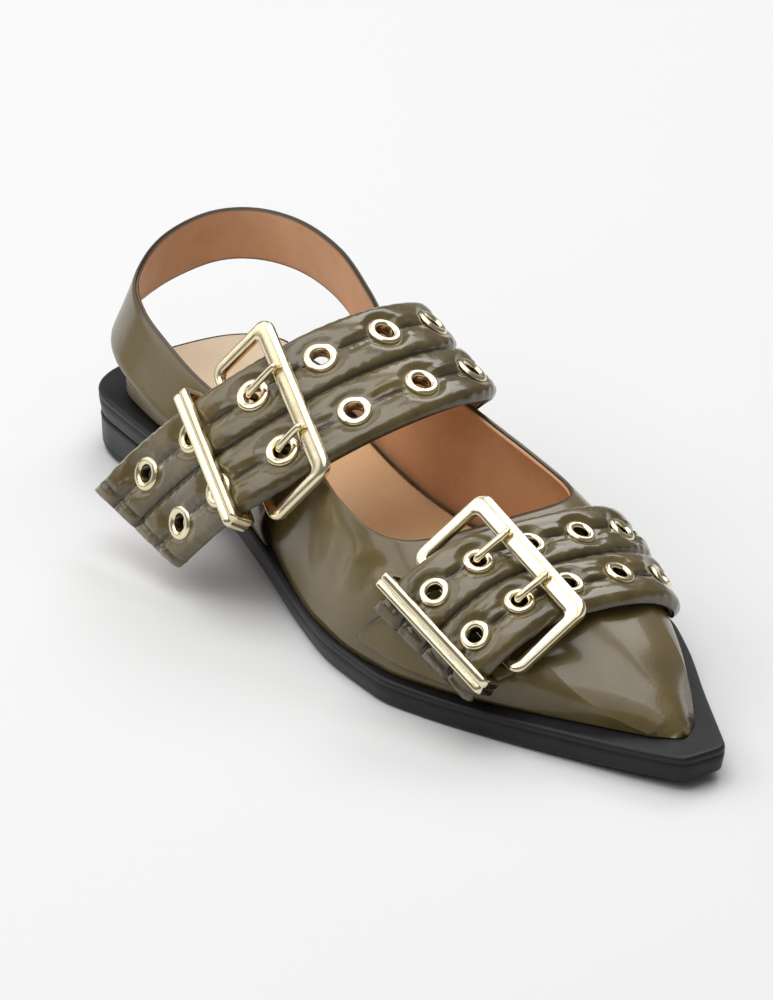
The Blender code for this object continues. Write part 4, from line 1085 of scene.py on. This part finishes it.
def makeToeTab(seat):  # a band on the upper from its foot line to below the hinge bar, wider at the foot
    _, hinge, _, down, _ = seat
    top = float(upperAngle(hinge + down * tabSizes["belowHinge"]))
    share = np.linspace(0.0, 1.0, tabSizes["rows"])[:, None]
    middle = tabSizes["footX"] + (hinge[0] - tabSizes["footX"]) * share
    spread = (1 + tabSizes["flare"] * (1 - share)) * tabSizes["width"]
    x = middle + spread * np.linspace(-0.5, 0.5, tabSizes["columns"])[None, :]
    angle = np.broadcast_to(tabSizes["footAngle"] + (top - tabSizes["footAngle"]) * share, x.shape)
    face, out = onUpper(x, angle, np.full(x.shape, seamGap))
    wall, edge = bandWall(face, out, tabSizes["thick"], 0.0, tabSizes["rounding"])
    addPiece("toe_tab_leather", wall, oliveLeather, ["toe_tab"], edge)


def makeInstepTab(seat):  # straight from the ledge to the hinge bar, bowed outwards by a sine
    share = np.linspace(0.0, 1.0, tabSizes["rows"])[:, None, None]
    side = np.linspace(-0.5, 0.5, tabSizes["columns"]) * instepTab["width"]
    footX, footY = instepTab["foot"]
    low = np.stack((footX + side, footY - instepTab["turn"] * side, soleTop(footX + side) + seamGap), axis=-1)
    below = buckleSizes["thick"] / 2 + seamGap + tabSizes["thick"]
    _, hinge, across, down, up = seat
    high = hinge - up * below + down + side[:, None] * across
    inner = low + (high - low) * share
    inner[..., 1] -= instepTab["lean"] * np.sin(share[..., 0] * math.pi)
    out = -unit(np.cross(np.gradient(inner, axis=1), np.gradient(inner, axis=0)))
    wall, edge = bandWall(inner, out, tabSizes["thick"], 0.0, tabSizes["rounding"])
    addPiece("instep_tab_leather", wall, oliveLeather, ["instep_tab"], edge)


def makeSling():  # a flat band along its middle line, its lower edge leaning outwards, leather over lining
    rows = np.linspace(0.0, len(slingLine["x"]) - 1.0, sling["rows"])
    middle = flowing(np.stack([slingLine[name] for name in "xyz"], axis=-1), rows)
    lean = np.radians(flowing(slingLine["lean"], rows))[:, None]
    along = unit(np.gradient(middle, axis=0))
    out = unit(np.cross(along, np.array([0.0, 0.0, 1.0])))
    if out[len(out) // 2, 0] > 0:
        out = -out
    down = unit(np.cross(along, out))
    down = np.where(down[:, 2:3] > 0, -down, down)
    across = down * np.cos(lean) + out * np.sin(lean)
    normal = (out * np.cos(lean) - down * np.sin(lean))[:, None, :]
    spread = np.linspace(-0.5, 0.5, sling["columns"]) * sling["width"]
    face = broad(middle, across, spread)
    half = sling["thick"] / 2
    split = half - sling["leather"]
    wall, edge = bandWall(face, normal, half, split, sling["rounding"])
    addPiece("sling_leather", wall, oliveLeather, ["sling_strap"], edge)
    wall, edge = bandWall(face, normal, split - 0.05, -half, sling["rounding"])
    addPiece("sling_lining", wall, tanLining, edge=edge)


makeToeTab(seats["toe_buckle"])
makeInstepTab(seats["instep_buckle"])
makeSling()
print("tabs and sling made")


# Stitches

def stitchMesh(path, normals, keep):
    # a capsule for each stitch: a short tube whose radius closes at both ends, bowed into the seam
    length = alongLength(path)
    count = int(length[-1] / stitchSizes["pitch"])
    at = (np.arange(count) + 0.5) * stitchSizes["pitch"]
    at = at[keep(at)]
    spot = sampled(path, length, at)
    up = unit(sampled(normals, length, at))
    tangent = unit(sampled(np.gradient(path, length, axis=0), length, at))
    wide = np.cross(tangent, up)
    rows, sides = stitchSizes["rows"], stitchSizes["sides"]
    place = np.linspace(-0.5, 0.5, rows)
    radius = stitchSizes["radius"] * np.sqrt(1 - (np.abs(place) * 1.9) ** 4)
    bow = -stitchSizes["bow"] * (2 * place) ** 2
    core = broad(spot, tangent, place * stitchSizes["length"]) + up[:, None, :] * bow[:, None]
    c, s = circle(sides)
    spokes = wide[:, None, :] * c[:, None] + up[:, None, :] * s[:, None]
    rings = core[:, :, None, :] + radius[None, :, None, None] * spokes[:, None, :, :]
    one = gridFaces(rows, sides, loopColumns=True)
    starts = np.arange(len(at))[:, None, None] * rows * sides
    faces = (one[None] + starts).reshape(-1, 4)
    cap = np.arange(sides)
    ends = np.stack((cap[::-1], cap + (rows - 1) * sides))
    return rings.reshape(-1, 3), [faces, (ends[None] + starts).reshape(-1, sides)]


def seamStitches(strap):  # a row of stitches in each seam between two channels, clear of eyelets and ends
    parts = []
    last = padding["columns"] - 1
    for k in range(1, padding["channels"]):
        at = last * k // padding["channels"]
        normals = strap["normals"][:, at]
        lift = strap["relief"][:, at] + stitchSizes["lift"]
        side = strap["shares"][at] * strap["width"]

        def clear(s):  # away from both ends and from every eyelet's rim
            within = (s > 2.0) & (s < strap["length"][-1] - 2.5)
            return within & (eyeletGap(strap, s, side) > strap["flange"] + stitchSizes["room"])

        parts.append(stitchMesh(strap["places"][:, at] + normals * lift[:, None], normals, clear))
    name = strap["name"] + "_stitches"
    addPiece(name, joinMeshes(parts), oliveThread)


for strap in (toeStrap, instepStrap):
    seamStitches(strap)
print("stitches made")


# Floor, light and camera

studio = {
    "floor": (0.735, 0.735, 0.735), "world": (1.0, 1.0, 1.0), "worldStrength": 0.2,
    "lights": (  # name, place, width, height, power
        ("top softbox", (0.05, -0.05, 1.90), 1.6, 1.6, 24.0),
        ("right back softbox", (-0.55, 1.05, 1.30), 1.0, 0.8, 9.0),
        ("left softbox", (-0.35, -1.15, 1.20), 1.2, 0.7, 6.0),
        ("left back softbox", (-1.15, -1.00, 0.58), 0.9, 0.7, 2.6),
        ("back softbox", (-1.15, -0.30, 1.15), 1.4, 0.9, 4.0),
        ("front softbox", (0.9, -0.9, 1.7), 1.3, 1.3, 6.0),
    ),
}
cameraSizes = {"place": (1.290, -0.758, 0.736), "lens": 205.0, "aim": (0.100, -0.009, 0.030)}


def makeFloor():  # a flat grid just under the sole, barely mottled
    size = 6.0
    x, y = np.meshgrid(np.linspace(-size, size, 5), np.linspace(-size, size, 5), indexing="ij")
    mesh = bpy.data.meshes.new("floor")
    points = np.stack((x, y, np.full_like(x, -0.0002)), axis=-1).reshape(-1, 3)
    mesh.from_pydata(points.tolist(), [], gridFaces(5, 5)[:, ::-1].tolist())
    finish, tree, shader, where = newFinish("pale floor")
    tone = tuple(0.985 * c for c in studio["floor"])
    colour = colourRamp(tree, noise(tree, where, 3.0), ((0.3, tone), (0.7, studio["floor"])))
    tree.links.new(colour, shader.inputs["Base Color"])
    shader.inputs["Roughness"].default_value = 0.8
    shader.inputs["Specular IOR Level"].default_value = 0.2
    mesh.materials.append(finish)
    floor = bpy.data.objects.new("floor", mesh)
    bpy.context.scene.collection.objects.link(floor)


def turnTo(item, place, aim):  # stands at the place and looks at the aim
    item.location = place
    item.rotation_euler = (Vector(aim) - Vector(place)).to_track_quat("-Z", "Y").to_euler()
    bpy.context.scene.collection.objects.link(item)


def makeLights():  # an even sky and softboxes turned to the shoe
    scene = bpy.context.scene
    scene.world = bpy.data.worlds.new("studio")
    scene.world.use_nodes = True
    sky = scene.world.node_tree.nodes["Background"]
    sky.inputs["Color"].default_value = (*studio["world"], 1.0)
    sky.inputs["Strength"].default_value = studio["worldStrength"]
    for name, place, width, height, power in studio["lights"]:
        lamp = bpy.data.lights.new(name, "AREA")
        lamp.shape = "RECTANGLE"
        lamp.size = width
        lamp.size_y = height
        lamp.energy = power
        turnTo(bpy.data.objects.new(name, lamp), place, cameraSizes["aim"])
    scene.view_settings.view_transform = "Standard"


def makeCamera():  # at the photograph's angle
    lens = bpy.data.cameras.new("camera")
    lens.lens = cameraSizes["lens"]
    lens.sensor_width = 36.0
    lens.clip_start = 0.05
    camera = bpy.data.objects.new("camera", lens)
    turnTo(camera, cameraSizes["place"], cameraSizes["aim"])
    bpy.context.scene.camera = camera


makeFloor()
makeLights()
makeCamera()
